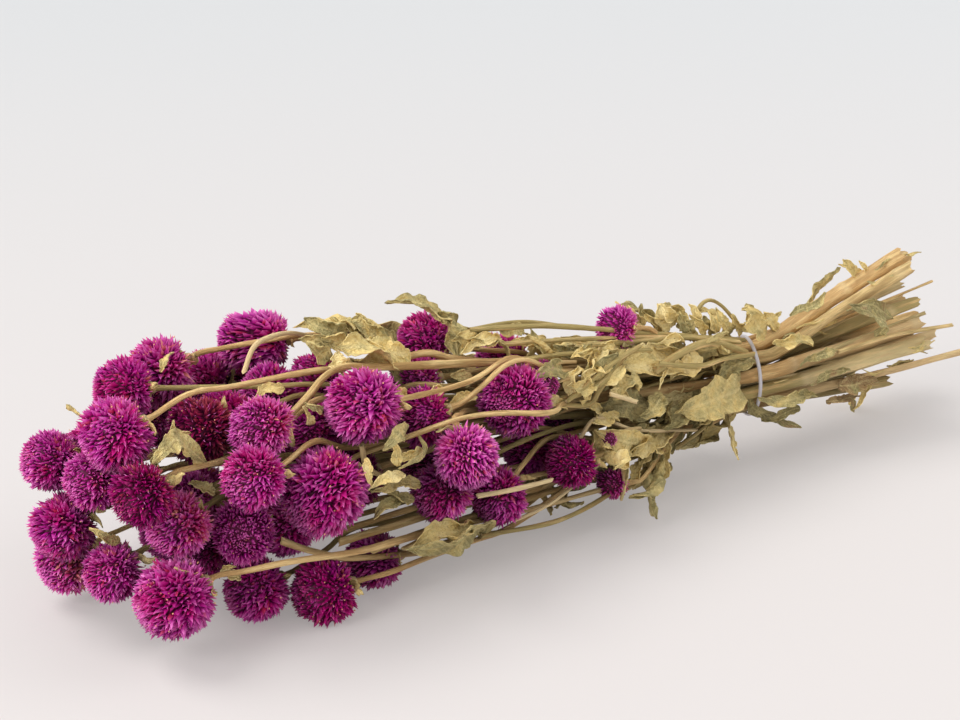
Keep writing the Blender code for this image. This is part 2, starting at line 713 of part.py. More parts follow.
def collar_rings(top, stem, heads, stems, sides):
    """Rings of the collar: a neck, then a disc with two leaf points in clear places."""
    facing = heads.facing[stem.head]
    radius = heads.radius[stem.head]
    start = unit(np.cross(facing, np.array([0.3, 0.2, 1.0])))
    other = np.cross(facing, start)
    best = None
    for step in range(12):
        angle = math.pi * step / 12
        side = start * math.cos(angle) + other * math.sin(angle)
        reaches = []
        for sign in (1, -1):
            reach = COLLAR_REACH
            while reach > COLLAR_WIDTH + 0.08:
                tip = top + side * (sign * reach * radius)
                if room_round(tip, stem, heads, stems) > COLLAR_ROOM:
                    break
                reach -= 0.08
            reaches.append(reach)
        if best is None or sum(reaches) > sum(best[1]):
            best = (side, reaches)
    side, reaches = best
    square = np.cross(facing, side)
    angles = np.arange(sides) * 2 * math.pi / sides
    circle = np.cos(angles)[:, None] * side + np.sin(angles)[:, None] * square
    reach = np.full(sides, COLLAR_WIDTH * radius)
    reach[0] = reaches[0] * radius
    reach[sides // 2] = reaches[1] * radius
    neck = top - facing * 2.6 + circle * stem.radius[-1]
    under = top + circle * reach[:, None] - facing * 0.9
    over = top + circle * reach[:, None] * 0.96
    return [neck, under, over]


def head_bmesh(heads, index):
    """A ball of pointed bracts in spiral rows, flat where it faces its stem."""
    radius = heads.radius[index]
    tips = TIPS_NEAR if heads.seen[index] and radius > 10.7 else TIPS_FAR
    turn = HEAD_SPIN * index
    mesh = bmesh.new()
    golden = math.pi * (3.0 - math.sqrt(5.0))
    for number in range(tips):
        height = 1.0 - (number + 0.5) * 2.0 / tips
        flat = math.sqrt(max(0.0, 1.0 - height * height))
        angle = golden * number + turn
        mesh.verts.new((flat * math.cos(angle), flat * math.sin(angle), height))
    bmesh.ops.convex_hull(mesh, input=mesh.verts[:])
    points = mesh.verts[:]
    poked = bmesh.ops.poke(mesh, faces=mesh.faces[:])
    valleys = set(poked["verts"])
    for number, vertex in enumerate(points + list(valleys)):
        direction = vertex.co.normalized()
        polar = math.acos(max(-1.0, min(1.0, direction.z)))
        depth = VALLEY_DEPTH
        if number < len(points):
            swing = TIP_LEAN * math.sin(polar)
            polar = max(0.0, polar - swing)
            depth = 1.0 - 0.05 * ((number * 7) % 5) / 5.0
        bearing = math.atan2(direction.y, direction.x)
        direction = Vector((math.sin(polar) * math.cos(bearing),
                            math.sin(polar) * math.sin(bearing), math.cos(polar)))
        if polar > BASE_CONE:
            depth = BASE_DEPTH / abs(math.cos(polar))
        vertex.co = direction * depth
    place_head(mesh, heads, index)
    return mesh


def place_head(mesh, heads, index):
    """Scale, stretch, turn and set a head in its place, in metres."""
    radius = heads.radius[index]
    stretch = heads.stretch[index]
    facing = Vector(heads.facing[index])
    turn = facing.to_track_quat("Z", "Y").to_matrix()
    centre = Vector(heads.centre[index] + BAND_FROM_MIDDLE)
    for vertex in mesh.verts:
        local = vertex.co.copy()
        local.z += (stretch - 1.0) * (1 if local.z > 0 else -1) * min(1.0, abs(local.z) / 0.3)
        vertex.co = (centre + turn @ (local * radius)) * MILLIMETRE
    bmesh.ops.recalc_face_normals(mesh, faces=mesh.faces[:])


def cut_at_table(mesh):
    """Cut off what lies below the table and close it with a flat face."""
    geometry = mesh.verts[:] + mesh.edges[:] + mesh.faces[:]
    result = bmesh.ops.bisect_plane(mesh, geom=geometry, dist=1e-7, plane_co=(0, 0, 0),
                                    plane_no=(0, 0, 1), clear_inner=True)
    rim = [item for item in result["geom_cut"] if isinstance(item, bmesh.types.BMEdge)]
    if rim:
        bmesh.ops.holes_fill(mesh, edges=rim, sides=0)
        for vertex in mesh.verts:
            if abs(vertex.co.z) < 1e-7:
                vertex.co.z = 0.0


def finish_mesh(mesh, obj_mesh):
    """Triangles, outward faces, written to the object's own mesh."""
    bmesh.ops.triangulate(mesh, faces=mesh.faces[:])
    bmesh.ops.recalc_face_normals(mesh, faces=mesh.faces[:])
    mesh.to_mesh(obj_mesh)
    mesh.free()


def material(name, colour, roughness):
    """A plain Principled material."""
    item = bpy.data.materials.new(name)
    item.use_nodes = True
    shader = item.node_tree.nodes["Principled BSDF"]
    shader.inputs["Base Color"].default_value = (*colour, 1.0)
    shader.inputs["Roughness"].default_value = roughness
    shader.inputs["Metallic"].default_value = 0.0
    return item


def add_object(name, mesh, colour, roughness):
    """One named piece with its own material."""
    obj = bpy.data.objects.new(name, mesh)
    bpy.context.scene.collection.objects.link(obj)
    mesh.materials.clear()
    mesh.materials.append(material(name, colour, roughness))
    return obj


def join_meshes(name, meshes, solver="EXACT"):
    """One Boolean union of closed meshes."""
    parts = bpy.data.collections.new(name + "_parts")
    bpy.context.scene.collection.children.link(parts)
    base = bpy.data.objects.new(name + "_base", meshes[0])
    bpy.context.scene.collection.objects.link(base)
    for number, mesh in enumerate(meshes[1:]):
        parts.objects.link(bpy.data.objects.new(f"{name}_part_{number}", mesh))
    union = base.modifiers.new("union", "BOOLEAN")
    union.operation = "UNION"
    union.operand_type = "COLLECTION"
    union.collection = parts
    union.solver = solver
    bpy.context.view_layer.update()
    evaluated = base.evaluated_get(bpy.context.evaluated_depsgraph_get())
    joined = bpy.data.meshes.new_from_object(evaluated)
    for obj in list(parts.objects):
        bpy.data.objects.remove(obj)
    bpy.data.objects.remove(base)
    bpy.data.collections.remove(parts)
    return joined


def join_closed(name, meshes):
    """A union that is closed: the exact way, or the other way where that leaves a fault."""
    for solver in ("EXACT", "MANIFOLD"):
        joined = join_meshes(name, meshes, solver)
        work = bmesh.new()
        work.from_mesh(joined)
        bmesh.ops.remove_doubles(work, verts=work.verts[:], dist=1e-6)
        bmesh.ops.dissolve_degenerate(work, edges=work.edges[:], dist=1e-6)
        bmesh.ops.triangulate(work, faces=work.faces[:])
        closed = all(len(edge.link_faces) == 2 for edge in work.edges)
        work.to_mesh(joined)
        work.free()
        if closed:
            return joined
    return joined


class Leaf:
    """A withered blade with a middle line, two waved edges and a foot in a stem."""

    def __init__(self, foot, tip, half_width, arch, twist, wave, seed):
        self.foot = np.array(foot, float)
        self.tip = np.array(tip, float)
        self.half_width = half_width
        self.arch = arch
        self.twist = math.radians(twist)
        self.wave = wave
        self.seed = seed
        self.rows = LEAF_ROWS if half_width > SMALL_LEAF else SMALL_LEAF_ROWS
        self.group = None
        self.grid = None

    def shape(self, stems):
        """Root the leaf in the nearest stem and lay out its grid of points."""
        best = None
        for index, stem in enumerate(stems):
            distance = np.linalg.norm(stem.points - self.foot, axis=1)
            distance[:2] += 50.0
            distance[-3:] += 50.0
            nearest = int(np.argmin(distance))
            if best is None or distance[nearest] < best[0]:
                best = (distance[nearest], index, nearest)
        stem = stems[best[1]]
        self.group = stem.group
        root = stem.points[best[2]]
        outward = self.outward()
        middle = 0.5 * (self.foot + self.tip) + outward * self.arch
        line = even_curve([root, self.foot, middle, self.tip], 1.5)
        pick = np.linspace(0, len(line) - 1, self.rows).round().astype(int)
        line = line[pick]
        tangents = np.gradient(line, axis=0)
        tangents /= np.linalg.norm(tangents, axis=1)[:, None]
        t = np.linspace(0, 1, self.rows)
        width = self.half_width * np.sin(np.pi * np.clip(t, 0.02, 1) ** 0.8) ** 0.8
        width = np.maximum(width, 0.55)
        width[0] = 0.5
        grid = []
        for row in range(self.rows):
            side = unit(np.cross(tangents[row], outward))
            lift = np.cross(side, tangents[row])
            angle = self.twist * (t[row] - 0.3)
            side, lift = (side * math.cos(angle) + lift * math.sin(angle),
                          lift * math.cos(angle) - side * math.sin(angle))
            ripple = self.wave * math.sin(2.3 * row + self.seed) * min(1.0, 2.0 * t[row])
            fold = 0.25 * width[row]
            grid.append([line[row] - side * width[row] + lift * (fold + ripple),
                         line[row],
                         line[row] + side * width[row] + lift * (fold - ripple)])
        self.grid = np.array(grid)

    def outward(self):
        """Away from the middle line of the bunch."""
        middle = 0.5 * (self.foot + self.tip)
        axis = np.array([middle[0], 0.0, BAND_HEIGHT - 12.0 * min(middle[0], 0.0) / 250.0])
        return unit(middle - axis)

    def bend_clear(self, heads, stems, rounds=30):
        """Push the blade off heads and off the stems of other pieces."""
        balls, sizes, _ = heads.balls()
        for _ in range(rounds):
            flat = self.grid[1:].reshape(-1, 3)
            apart = flat[:, None] - balls[None]
            distance = np.linalg.norm(apart, axis=2) + 1e-9
            lack = np.maximum(sizes[None] + 1.9 - distance, 0.0)
            flat = flat + (lack[..., None] * apart / distance[..., None]).sum(1) * 0.5
            for stem in stems:
                if stem.group == self.group:
                    continue
                start = stem.points[:-1]
                run = stem.points[1:] - start
                toward = flat[:, None] - start[None]
                t = np.clip((toward * run[None]).sum(2) / (run * run).sum(1)[None], 0, 1)
                off = toward - t[..., None] * run[None]
                distance = np.linalg.norm(off, axis=2) + 1e-9
                nearest = np.argmin(distance, axis=1)
                rows = np.arange(len(flat))
                near = distance[rows, nearest]
                lack = np.maximum(stem.radius.max() + 2.2 - near, 0.0)
                flat = flat + off[rows, nearest] * (lack / near)[:, None] * 0.6
            self.grid[1:] = flat.reshape(-1, 3, 3)

    def mesh(self, name):
        """The blade as a closed mesh with both faces split alike."""
        grid = self.grid
        along = np.gradient(grid, axis=0)
        across = np.gradient(grid, axis=1)
        normal = np.cross(along, across)
        normal /= np.linalg.norm(normal, axis=2)[..., None] + 1e-9
        top = (grid + normal * BLADE_HALF_THICKNESS).reshape(-1, 3)
        bottom = (grid - normal * BLADE_HALF_THICKNESS).reshape(-1, 3)
        count = len(top)
        faces = []
        for row in range(self.rows - 1):
            for column in range(2):
                a = row * 3 + column
                b, c, d = a + 1, a + 4, a + 3
                for one, two, three in ((a, b, c), (a, c, d)):
                    faces.append((one, two, three))
                    faces.append((count + three, count + two, count + one))
            for edge, flip in ((0, False), (2, True)):
                a = row * 3 + edge
                b = a + 3
                quad = (a, b, count + b, count + a)
                faces.append(quad[::-1] if flip else quad)
        last = (self.rows - 1) * 3
        for start, flip in ((0, True), (last, False)):
            for column in range(2):
                a = start + column
                quad = (a, a + 1, count + a + 1, count + a)
                faces.append(quad[::-1] if not flip else quad)
        return mesh_from(name, np.vstack([top, bottom]), faces)


def plan_leaves(heads, stems):
    """All the leaves, rooted and bent clear."""
    leaves = []
    for number, row in enumerate(VISIBLE_LEAVES):
        foot = seen_at(*row[0:3])
        tip = seen_at(*row[3:6])
        leaves.append(Leaf(foot, tip, *row[6:10], 1.7 * number))
    for number, row in enumerate(FAR_LEAVES):
        leaves.append(Leaf(*row, 1.3 * number + 0.4))
    for leaf in leaves:
        leaf.shape(stems)
        leaf.bend_clear(heads, stems)
    return leaves


def wholly_closed(mesh):
    """Faces outward on a closed mesh before it is joined."""
    work = bmesh.new()
    work.from_mesh(mesh)
    bmesh.ops.triangulate(work, faces=work.faces[:])
    bmesh.ops.recalc_face_normals(work, faces=work.faces[:])
    work.to_mesh(mesh)
    work.free()
    return mesh


def make_stalks(heads, stems, leaves):
    """Each stalk with its branches and leaves as one piece."""
    for group in range(STALK_COUNT):
        name = f"leafy_stem_{group + 1:02d}"
        meshes = []
        for number, stem in enumerate(stems):
            if stem.group == group:
                mesh = stem_mesh(f"{name}_{number}", stem, heads, stems)
                meshes.append(wholly_closed(mesh))
        for number, leaf in enumerate(leaves):
            if leaf.group == group:
                meshes.append(wholly_closed(leaf.mesh(f"{name}_leaf_{number}")))
        joined = join_closed(name, meshes)
        work = bmesh.new()
        work.from_mesh(joined)
        if min(vertex.co.z for vertex in work.verts) < 0.0:
            cut_at_table(work)
        finish_mesh(work, joined)
        tone = list(STEM_COLOURS)[group % len(STEM_COLOURS)]
        add_object(name, joined, STEM_COLOURS[tone], STEM_ROUGHNESS)


def make_heads(heads):
    """Each head, or each touching pair of heads, as one piece."""
    for piece in sorted(set(heads.piece.tolist())):
        members = np.where(heads.piece == piece)[0]
        kind = "head" if len(members) == 1 else "head_pair"
        name = f"{kind}_{piece:02d}"
        meshes = []
        for member in members:
            work = head_bmesh(heads, int(member))
            if heads.resting[member]:
                cut_at_table(work)
            mesh = bpy.data.meshes.new(f"{name}_{member}")
            finish_mesh(work, mesh)
            meshes.append(mesh)
        joined = meshes[0] if len(meshes) == 1 else join_closed(name, meshes)
        tone = list(FLOWER_COLOURS)[piece % len(FLOWER_COLOURS)]
        add_object(name, joined, FLOWER_COLOURS[tone], FLOWER_ROUGHNESS)


def make_band():
    """A narrow flat band round all the stalks."""
    segments = 32
    vertices = []
    for segment in range(segments):
        angle = 2 * math.pi * segment / segments
        for radius, side in ((BAND_INNER_RADIUS, -1), (BAND_INNER_RADIUS + BAND_THICKNESS, -1),
                             (BAND_INNER_RADIUS + BAND_THICKNESS, 1), (BAND_INNER_RADIUS, 1)):
            place = around(angle, radius)
            place[0] = side * 0.5 * BAND_WIDTH
            vertices.append(place)
    faces = []
    for segment in range(segments):
        after = (segment + 1) % segments
        for corner in range(4):
            turn = (corner + 1) % 4
            faces.append((segment * 4 + corner, segment * 4 + turn,
                          after * 4 + turn, after * 4 + corner))
    mesh = wholly_closed(mesh_from("tie_band", vertices, faces))
    add_object("tie_band", mesh, BAND_COLOUR, BAND_ROUGHNESS)


def main():
    """Build the bunch."""
    for obj in list(bpy.data.objects):
        bpy.data.objects.remove(obj)
    heads = Heads()
    settle_heads(heads)
    turn_stalks_clear(heads)
    stems = plan_stems(heads)
    StemBundle(stems, heads).settle()
    leaves = plan_leaves(heads, stems)
    make_heads(heads)
    make_stalks(heads, stems, leaves)
    make_band()


main()
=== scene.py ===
import math
import bpy
import numpy as np
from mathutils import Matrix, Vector


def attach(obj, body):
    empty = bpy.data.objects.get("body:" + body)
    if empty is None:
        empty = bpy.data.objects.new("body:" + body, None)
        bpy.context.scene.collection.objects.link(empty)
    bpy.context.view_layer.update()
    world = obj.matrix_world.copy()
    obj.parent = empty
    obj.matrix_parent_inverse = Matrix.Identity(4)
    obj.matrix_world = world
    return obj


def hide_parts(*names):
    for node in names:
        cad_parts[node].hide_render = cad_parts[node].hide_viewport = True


# A bunch of dried globe amaranth on its side: flower heads at the low end of X, cut stalks at the
# high end. Places are worked out in millimetres round the middle of the elastic band, as in the
# solid model.

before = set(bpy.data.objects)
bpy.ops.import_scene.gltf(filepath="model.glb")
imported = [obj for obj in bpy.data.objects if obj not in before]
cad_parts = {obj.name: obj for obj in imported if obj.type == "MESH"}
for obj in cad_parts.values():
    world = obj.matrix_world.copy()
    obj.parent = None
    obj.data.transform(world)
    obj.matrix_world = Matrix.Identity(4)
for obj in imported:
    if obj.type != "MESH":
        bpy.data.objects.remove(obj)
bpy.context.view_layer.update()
bandFromMiddle = np.array([99.0, -2.5, 0.0])
golden = math.pi * (3.0 - math.sqrt(5.0))
print("frame loaded")

viewpoint = {
    "azimuth": -30.0,
    "elevation": 24.0,
    "distance": 900.0,
    "target": (-91.0, 54.0, 40.0),
    "focal": 2260.0,            # pixels
    "middle": (480.0, 360.0),
    "frameWidth": 960.0,
}


def viewAxes():
    # Unit vectors into the picture, to its right and up, from the two angles.
    a = math.radians(viewpoint["azimuth"])
    e = math.radians(viewpoint["elevation"])
    into = np.array([-math.sin(a) * math.cos(e), math.cos(a) * math.cos(e), -math.sin(e)])
    right = np.array([math.cos(a), math.sin(a), 0.0])
    return into, right, np.cross(right, into)


into, rightward, upward = viewAxes()
eye = np.array(viewpoint["target"]) - into * viewpoint["distance"]


def seenAt(column, row, across):
    # The place on a pixel's line of sight whose second coordinate is across.
    ray = (into * viewpoint["focal"] + rightward * (column - viewpoint["middle"][0])
           - upward * (row - viewpoint["middle"][1]))
    return eye + ray * ((across - eye[1]) / ray[1])


def unit(vector):
    return vector / (np.linalg.norm(vector) + 1e-9)


def units(vectors):
    return vectors / (np.linalg.norm(vectors, axis=-1, keepdims=True) + 1e-12)


def lengths(vectors):
    return np.linalg.norm(vectors, axis=-1)


def travelledAlong(path):
    # How far along the path each of its points lies.
    return np.concatenate([[0.0], np.cumsum(lengths(np.diff(path, axis=0)))])


def pushes(amount, apart, distance):
    # For each row, the sum of its steps away from the others, each as long as its amount.
    return (amount[..., None] * apart / distance[..., None]).sum(1)


def turned(first, second, angle):
    # Two directions square to each other, turned together by an angle.
    c, s = np.cos(angle), np.sin(angle)
    return first * c + second * s, second * c - first * s


def smoothRun(a, b, c, d, t):
    # Catmull-Rom: the cubic from b to c whose slopes there follow a and d.
    return 0.5 * (2 * b + (c - a) * t + (2 * a - 5 * b + 4 * c - d) * t ** 2
                  + (3 * b - a - 3 * c + d) * t ** 3)


layout = {
    # heads: shares of a radius, or millimetres
    "baseDepth": 0.80, "headGap": 0.3, "headSpacing": 0.7, "pairOverlap": 0.80, "restSink": 1.5,
    "collarWidth": 0.25, "collarReach": 0.92, "collarStep": 0.08, "collarRoom": 0.6,
    # stalks and stems: millimetres
    "bandHeight": 34.0, "stalkCount": 11, "slotRadius": 11.9, "innerSlotRadius": 5.2,
    "innerStalks": 5, "stalkLength": 88.0, "stalkCut": 3.0, "stalkBand": 2.8, "stalkHead": 1.2,
    "branchRoot": 1.35, "branchHead": 1.15, "sideStalk": 2.3, "clearance": 1.4, "pathStep": 6.0,
    "pastBand": 30.0,        # where a stem is free to spread
    "neck": 9.0,             # straight below a head
    "fork": (26.0, 0.22, 7.0),     # first fork, share of the head's distance, step to the next
    "forkFromHead": 30.0, "lastFork": 14.0, "innerFork": 48.0,
}

# How overlaps are eased out: rounds, shares of a step, and room in millimetres
easing = {
    "headRounds": 600, "headPush": 0.12, "offSight": 0.35, "homeward": 0.10,
    "neckRounds": 120, "neckPush": 0.3, "neckHeight": 3.0, "neckLift": 0.5,
    "neckRoom": 2.4, "neckDepths": (1.0, 5.0, 11.0),
    "stemRounds": 260, "lastRounds": 60, "smooth": 0.3, "lastSmooth": 0.08, "stemHomeward": 0.01,
    "stemPush": 1.05, "kinRoom": 0.4, "stemHeight": 0.6, "bandHalfLength": 10.0,
    "pairReach": 15.0, "pairsEvery": 8,
    "leafRounds": 30, "leafFromHead": 1.9, "leafFromStem": 2.2,
}

# piece, picture column and row, offset across, radius, turn of the tip, lean at the viewer
seenHeads = [
    (1, 158, 374, 22, 12.6, 206, 15), (2, 122, 388, 14, 10.8, 180, 10),
    (3, 113, 437, -2, 12.4, 204, 20), (4, 49, 461, 15, 10.8, 180, 20),
    (5, 92, 480, 0, 10.4, 205, 35), (6, 141, 497, -12, 10.8, 215, 30),
    (7, 62, 529, 8, 11.8, 211, 15), (8, 66, 562, 16, 11.4, 213, 25),
    (9, 111, 573, -8, 10.6, 215, 20), (10, 172, 600, -31, 14.0, 207, 20),
    (11, 177, 527, -20, 11.6, 198, 30), (12, 187, 498, -2, 10.0, 180, 20),
    (13, 197, 432, -12, 11.6, 200, 40), (14, 222, 420, 8, 10.5, 190, 20),
    (15, 253, 341, 20, 10.4, 183, 5), (16, 260, 428, -26, 11.0, 206, 45),
    (17, 264, 392, 2, 10.6, 170, 10), (18, 313, 432, -12, 10.8, 200, 20),
    (19, 360, 406, -28, 13.4, 189, 25), (17, 316, 380, 12, 10.4, 175, 10),
    (20, 423, 341, 12, 11.0, 170, 10), (21, 252, 479, -32, 10.8, 203, 45),
    (22, 243, 531, -28, 11.4, 185, 70), (23, 322, 493, -40, 14.0, 240, 20),
    (24, 254, 590, -22, 11.8, 195, 15), (25, 322, 591, -36, 12.0, 197, 20),
    (26, 372, 560, -24, 11.0, 190, 10), (27, 415, 382, -6, 10.0, 190, 10),
    (28, 422, 418, -22, 10.6, 200, 10), (29, 468, 459, -38, 11.6, 303, 20),
    (30, 440, 494, -35, 10.8, 220, 30), (31, 497, 498, -32, 10.8, 230, 30),
    (32, 514, 402, -26, 13.0, 200, 65), (33, 500, 361, 10, 10.4, 180, 10),
    (34, 569, 462, -28, 9.8, 185, 15), (35, 528, 450, -12, 10.6, 200, 20),
    (35, 550, 425, -2, 10.0, 190, 10), (36, 616, 328, -5, 8.4, 180, 10),
    (37, 611, 483, -25, 6.4, 180, 10), (38, 428, 466, -16, 10.4, 200, 20),
    (39, 352, 478, -18, 10.6, 200, 20), (40, 285, 528, -10, 10.8, 200, 20),
    (41, 205, 548, -4, 10.6, 200, 20),
]
longHeads = {15: 1.35, 23: 1.12}       # how far two of them are stretched

# Heads of the far side: piece, place along, across and up, radius
farHeads = [
    (42, -262, 34, 50, 11.6), (42, -252, 46, 33, 12.0), (43, -236, 34, 12, 12.6),
    (43, -214, 46, 16, 12.0), (44, -240, 44, 58, 12.0), (44, -222, 52, 44, 11.6),
    (45, -214, 38, 68, 11.2), (45, -196, 46, 56, 12.0), (46, -192, 54, 34, 12.0),
    (46, -176, 46, 18, 11.6), (47, -172, 42, 50, 11.6), (47, -158, 44, 34, 11.0),
    (48, -142, 34, 22, 11.0), (48, -128, 32, 36, 10.4),
]
farFacingFrom = np.array([-70.0, 0.0, 34.0])
restingPieces = (24, 25, 43)

# Marked turns of a head's stem: picture column and row, offset across
stemTurns = {
    16: [(345, 375, -24), (430, 365, -18), (540, 362, -9)],
    10: [(240, 577, -38), (270, 564, -41), (300, 558, -45), (350, 555, -44), (400, 540, -40)],
    25: [(400, 567, -37), (455, 546, -36), (510, 532, -34), (560, 522, -33), (600, 500, -28),
         (640, 478, -20)],
    29: [(446, 420, -36), (452, 409, -30), (478, 404, -16)],
    32: [(552, 403, -12), (574, 399, -11), (600, 375, -10), (622, 352, -8), (645, 350, -6),
         (672, 361, -4)],
    23: [(400, 440, -37), (440, 425, -37), (482, 410, -40)],
    34: [(628, 450, -20), (685, 426, -10)],
}

# Cut ends in the picture, by stalk
cutEnds = {
    3: (914, 318, 12), 4: (900, 300, 6), 5: (904, 254, -1), 6: (909, 268, -9), 7: (916, 330, -12),
    8: (925, 344, -19), 9: (968, 350, -25), 10: (882, 380, -12),
}


class Heads:
    # All the heads as arrays, one row each.
    def __init__(self):
        rows = []
        for piece, column, row, across, size, turn, lean in seenHeads:
            turn, lean = math.radians(turn), math.radians(lean)
            inPlane = math.cos(turn) * rightward + math.sin(turn) * upward
            facing = math.cos(lean) * inPlane - math.sin(lean) * into
            rows.append((piece, seenAt(column, row, across), size, facing,
                         longHeads.get(piece, 1.0), True))
        for piece, along, across, up, size in farHeads:
            place = np.array([along, across, up], float)
            outward = (place - farFacingFrom) * np.array([1.0, 1.5, 1.0])
            rows.append((piece, place, size, unit(outward), 1.0, False))
        columns = list(zip(*rows))
        self.piece, self.centre, self.radius, self.facing, self.stretch, self.seen = (
            np.array(column) for column in columns)
        self.count = len(rows)
        first = [list(self.piece).index(number) for number in restingPieces]
        self.resting = np.isin(np.arange(self.count), first)
        self.base = self.radius * layout["baseDepth"] + (self.stretch - 1.0) * self.radius

    def balls(self):
        # Two balls a head, drawn apart where it is stretched.
        shift = self.facing * ((self.stretch - 1.0) * self.radius)[:, None]
        return (np.concatenate([self.centre + shift, self.centre - shift]),
                np.concatenate([self.radius, self.radius]),
                np.concatenate([np.arange(self.count)] * 2))

    def settle(self):
        # Each pair closer than its radii is pushed apart by a share of the overlap, mostly along
        # its line of sight, and those of one piece are drawn together.
        start = self.centre.copy()
        sight = start - eye
        sight /= lengths(sight)[:, None]
        same = self.piece[:, None] == self.piece[None]
        reach = self.radius[:, None] + self.radius[None]
        wanted = np.where(same, layout["pairOverlap"] * reach, reach + layout["headSpacing"])
        floor = self.radius + np.where(self.resting, -layout["restSink"], layout["headSpacing"])
        seen = self.seen[:, None]

        def alongSight(step):
            return (step * sight).sum(1)[:, None] * sight

        for _ in range(easing["headRounds"]):
            move = np.zeros_like(self.centre)
            ends = np.split(self.balls()[0], 2)
            for endsA in ends:
                for endsB in ends:
                    apart = endsA[:, None] - endsB[None]
                    distance = lengths(apart) + 1e-9
                    lack = wanted - distance
                    lack = np.where(same, lack, np.maximum(lack, 0.0))
                    np.fill_diagonal(lack, 0.0)
                    move += pushes(lack, apart, distance) * easing["headPush"]
            along = alongSight(move)
            self.centre += np.where(seen, along + easing["offSight"] * (move - along), move)
            off = self.centre - start
            self.centre -= np.where(seen, easing["homeward"] * (off - alongSight(off)), 0.0)
            height = self.centre[:, 2]
            self.centre[:, 2] = np.where(self.resting, floor, np.maximum(height, floor))

    def turnClear(self):
        # Each facing turns until the first of its stem misses all the other heads.
        first = layout["collarWidth"] * self.radius + 0.5
        further = np.full(self.count, easing["neckRoom"])
        for _ in range(easing["neckRounds"]):
            balls, sizes, owner = self.balls()
            own = np.arange(self.count)[:, None] == owner[None]
            for depth, room in zip(easing["neckDepths"], (first, further, further)):
                neck = self.centre - self.facing * (self.base + depth)[:, None]
                apart = neck[:, None] - balls[None]
                distance = lengths(apart) + 1e-9
                lack = np.maximum(sizes[None] + room[:, None] - distance, 0.0)
                lack[own] = 0.0
                low = np.maximum(easing["neckHeight"] - neck[:, 2], 0.0)
                neck = neck + pushes(lack, apart, distance) * easing["neckPush"]
                neck[:, 2] += low * easing["neckLift"]
                facing = self.centre - neck
                self.facing = facing / lengths(facing)[:, None]


def evenCurve(knots, step=layout["pathStep"]):
    # A smooth line through the knots, read again at an even step.
    knots = np.array(knots, float)
    padded = np.vstack([2 * knots[0] - knots[1], knots, 2 * knots[-1] - knots[-2]])
    runs = []
    for index in range(1, len(padded) - 2):
        a, b, c, d = padded[index - 1:index + 3]
        count = max(2, int(np.linalg.norm(c - b) / 1.5))
        t = np.linspace(0, 1, count, endpoint=False)[:, None]
        runs.append(smoothRun(a, b, c, d, t))
    points = np.vstack(runs + [knots[-1:]])
    travelled = travelledAlong(points)
    count = max(4, int(round(travelled[-1] / step)))
    stations = np.linspace(0, travelled[-1], count + 1)
    return np.stack([np.interp(stations, travelled, points[:, k]) for k in range(3)], 1)


def bezier(a, b, c, d, count):
    # The cubic from a to d that b and c draw towards them.
    t = np.linspace(0, 1, count)[:, None]
    return (1 - t) ** 3 * a + 3 * (1 - t) ** 2 * t * b + 3 * (1 - t) * t * t * c + t ** 3 * d


class Stem:
    # One stem: its points, its stalk, its head if it has one, and where it roots on the stalk.
    def __init__(self, points, group, head, root):
        self.points = points
        self.group = group
        self.head = head
        self.root = root
        if head is None:
            self.radius = np.full(len(points), layout["sideStalk"])
        elif root is None:
            middle = 0.5 * (layout["stalkBand"] + layout["stalkHead"])
            self.radius = np.interp(-points[:, 0], [-90, 0, 90, 240],
                                    [layout["stalkCut"], layout["stalkBand"], middle,
                                     layout["stalkHead"]])
        else:
            self.radius = np.linspace(layout["branchRoot"], layout["branchHead"], len(points))


def slotAngle(group):
    return math.radians(-90.0 + 360.0 * (group + 0.5) / layout["stalkCount"])


def axisHeight(x):
    # The middle of the bunch rises from the band towards the flowers.
    return layout["bandHeight"] - 12.0 * x / 250.0


def shifted(place, x):
    return place + np.array([x, 0.0, 0.0])


def around(angle, radius):
    # A place on a ring round the middle of the band.
    return np.array([0.0, math.cos(angle) * radius,
                     layout["bandHeight"] + math.sin(angle) * radius])


def cutEnd(angle, radius, length, lift):
    return around(angle, radius) + np.array([length, 0.0, lift])


def headKnots(heads, index, slot):
    # From just past the band to the collar: marked turns where the picture shows them, else a
    # bezier.
    centre, facing, piece = heads.centre[index], heads.facing[index], heads.piece[index]
    collar = centre - facing * (heads.base[index] + layout["headGap"])
    near = collar - facing * layout["neck"]
    first = shifted(slot, -layout["pastBand"]) + (centre - slot) * np.array([0.0, 0.08, 0.08])
    turns = stemTurns.get(int(piece), [])
    if turns and list(heads.piece).index(piece) == index:
        return [first] + [seenAt(*turn) for turn in turns[::-1]] + [near, collar]
    outward = (near - first) * np.array([0.0, 0.15, 0.15])
    outward[0] = -abs(centre[0]) * 0.25
    back = near - facing * abs(near[0] - first[0]) * 0.3
    middle = bezier(first, first + outward, back, near, 5)[1:-1]
    return [first] + list(middle) + [near, collar]


def atX(points, x):
    # The place on a line at one station along the bunch.
    ordered = points[np.argsort(points[:, 0])]
    return np.array([x, np.interp(x, ordered[:, 0], ordered[:, 1]),
                     np.interp(x, ordered[:, 0], ordered[:, 2])])


def branchFrom(main, own, headX, headRadius, turn):
    # A branch leaves the stalk at a fork and eases over to its own line.
    nearest, share, step = layout["fork"]
    fork = -nearest - share * abs(headX) - step * turn
    fork = min(max(fork, headX + headRadius + layout["forkFromHead"]), -layout["lastFork"])
    weight = np.clip((fork - own[:, 0]) / (0.30 * abs(headX) + 10.0), 0, 1)
    weight = weight * (2 - weight)
    line = np.array([atX(main, x) for x in own[:, 0]])
    line = line + (own - line) * weight[:, None]
    line = line[own[:, 0] < fork]
    root = int(np.argmin(lengths(main - atX(main, fork))))
    return evenCurve(np.vstack([main[root], line])), root


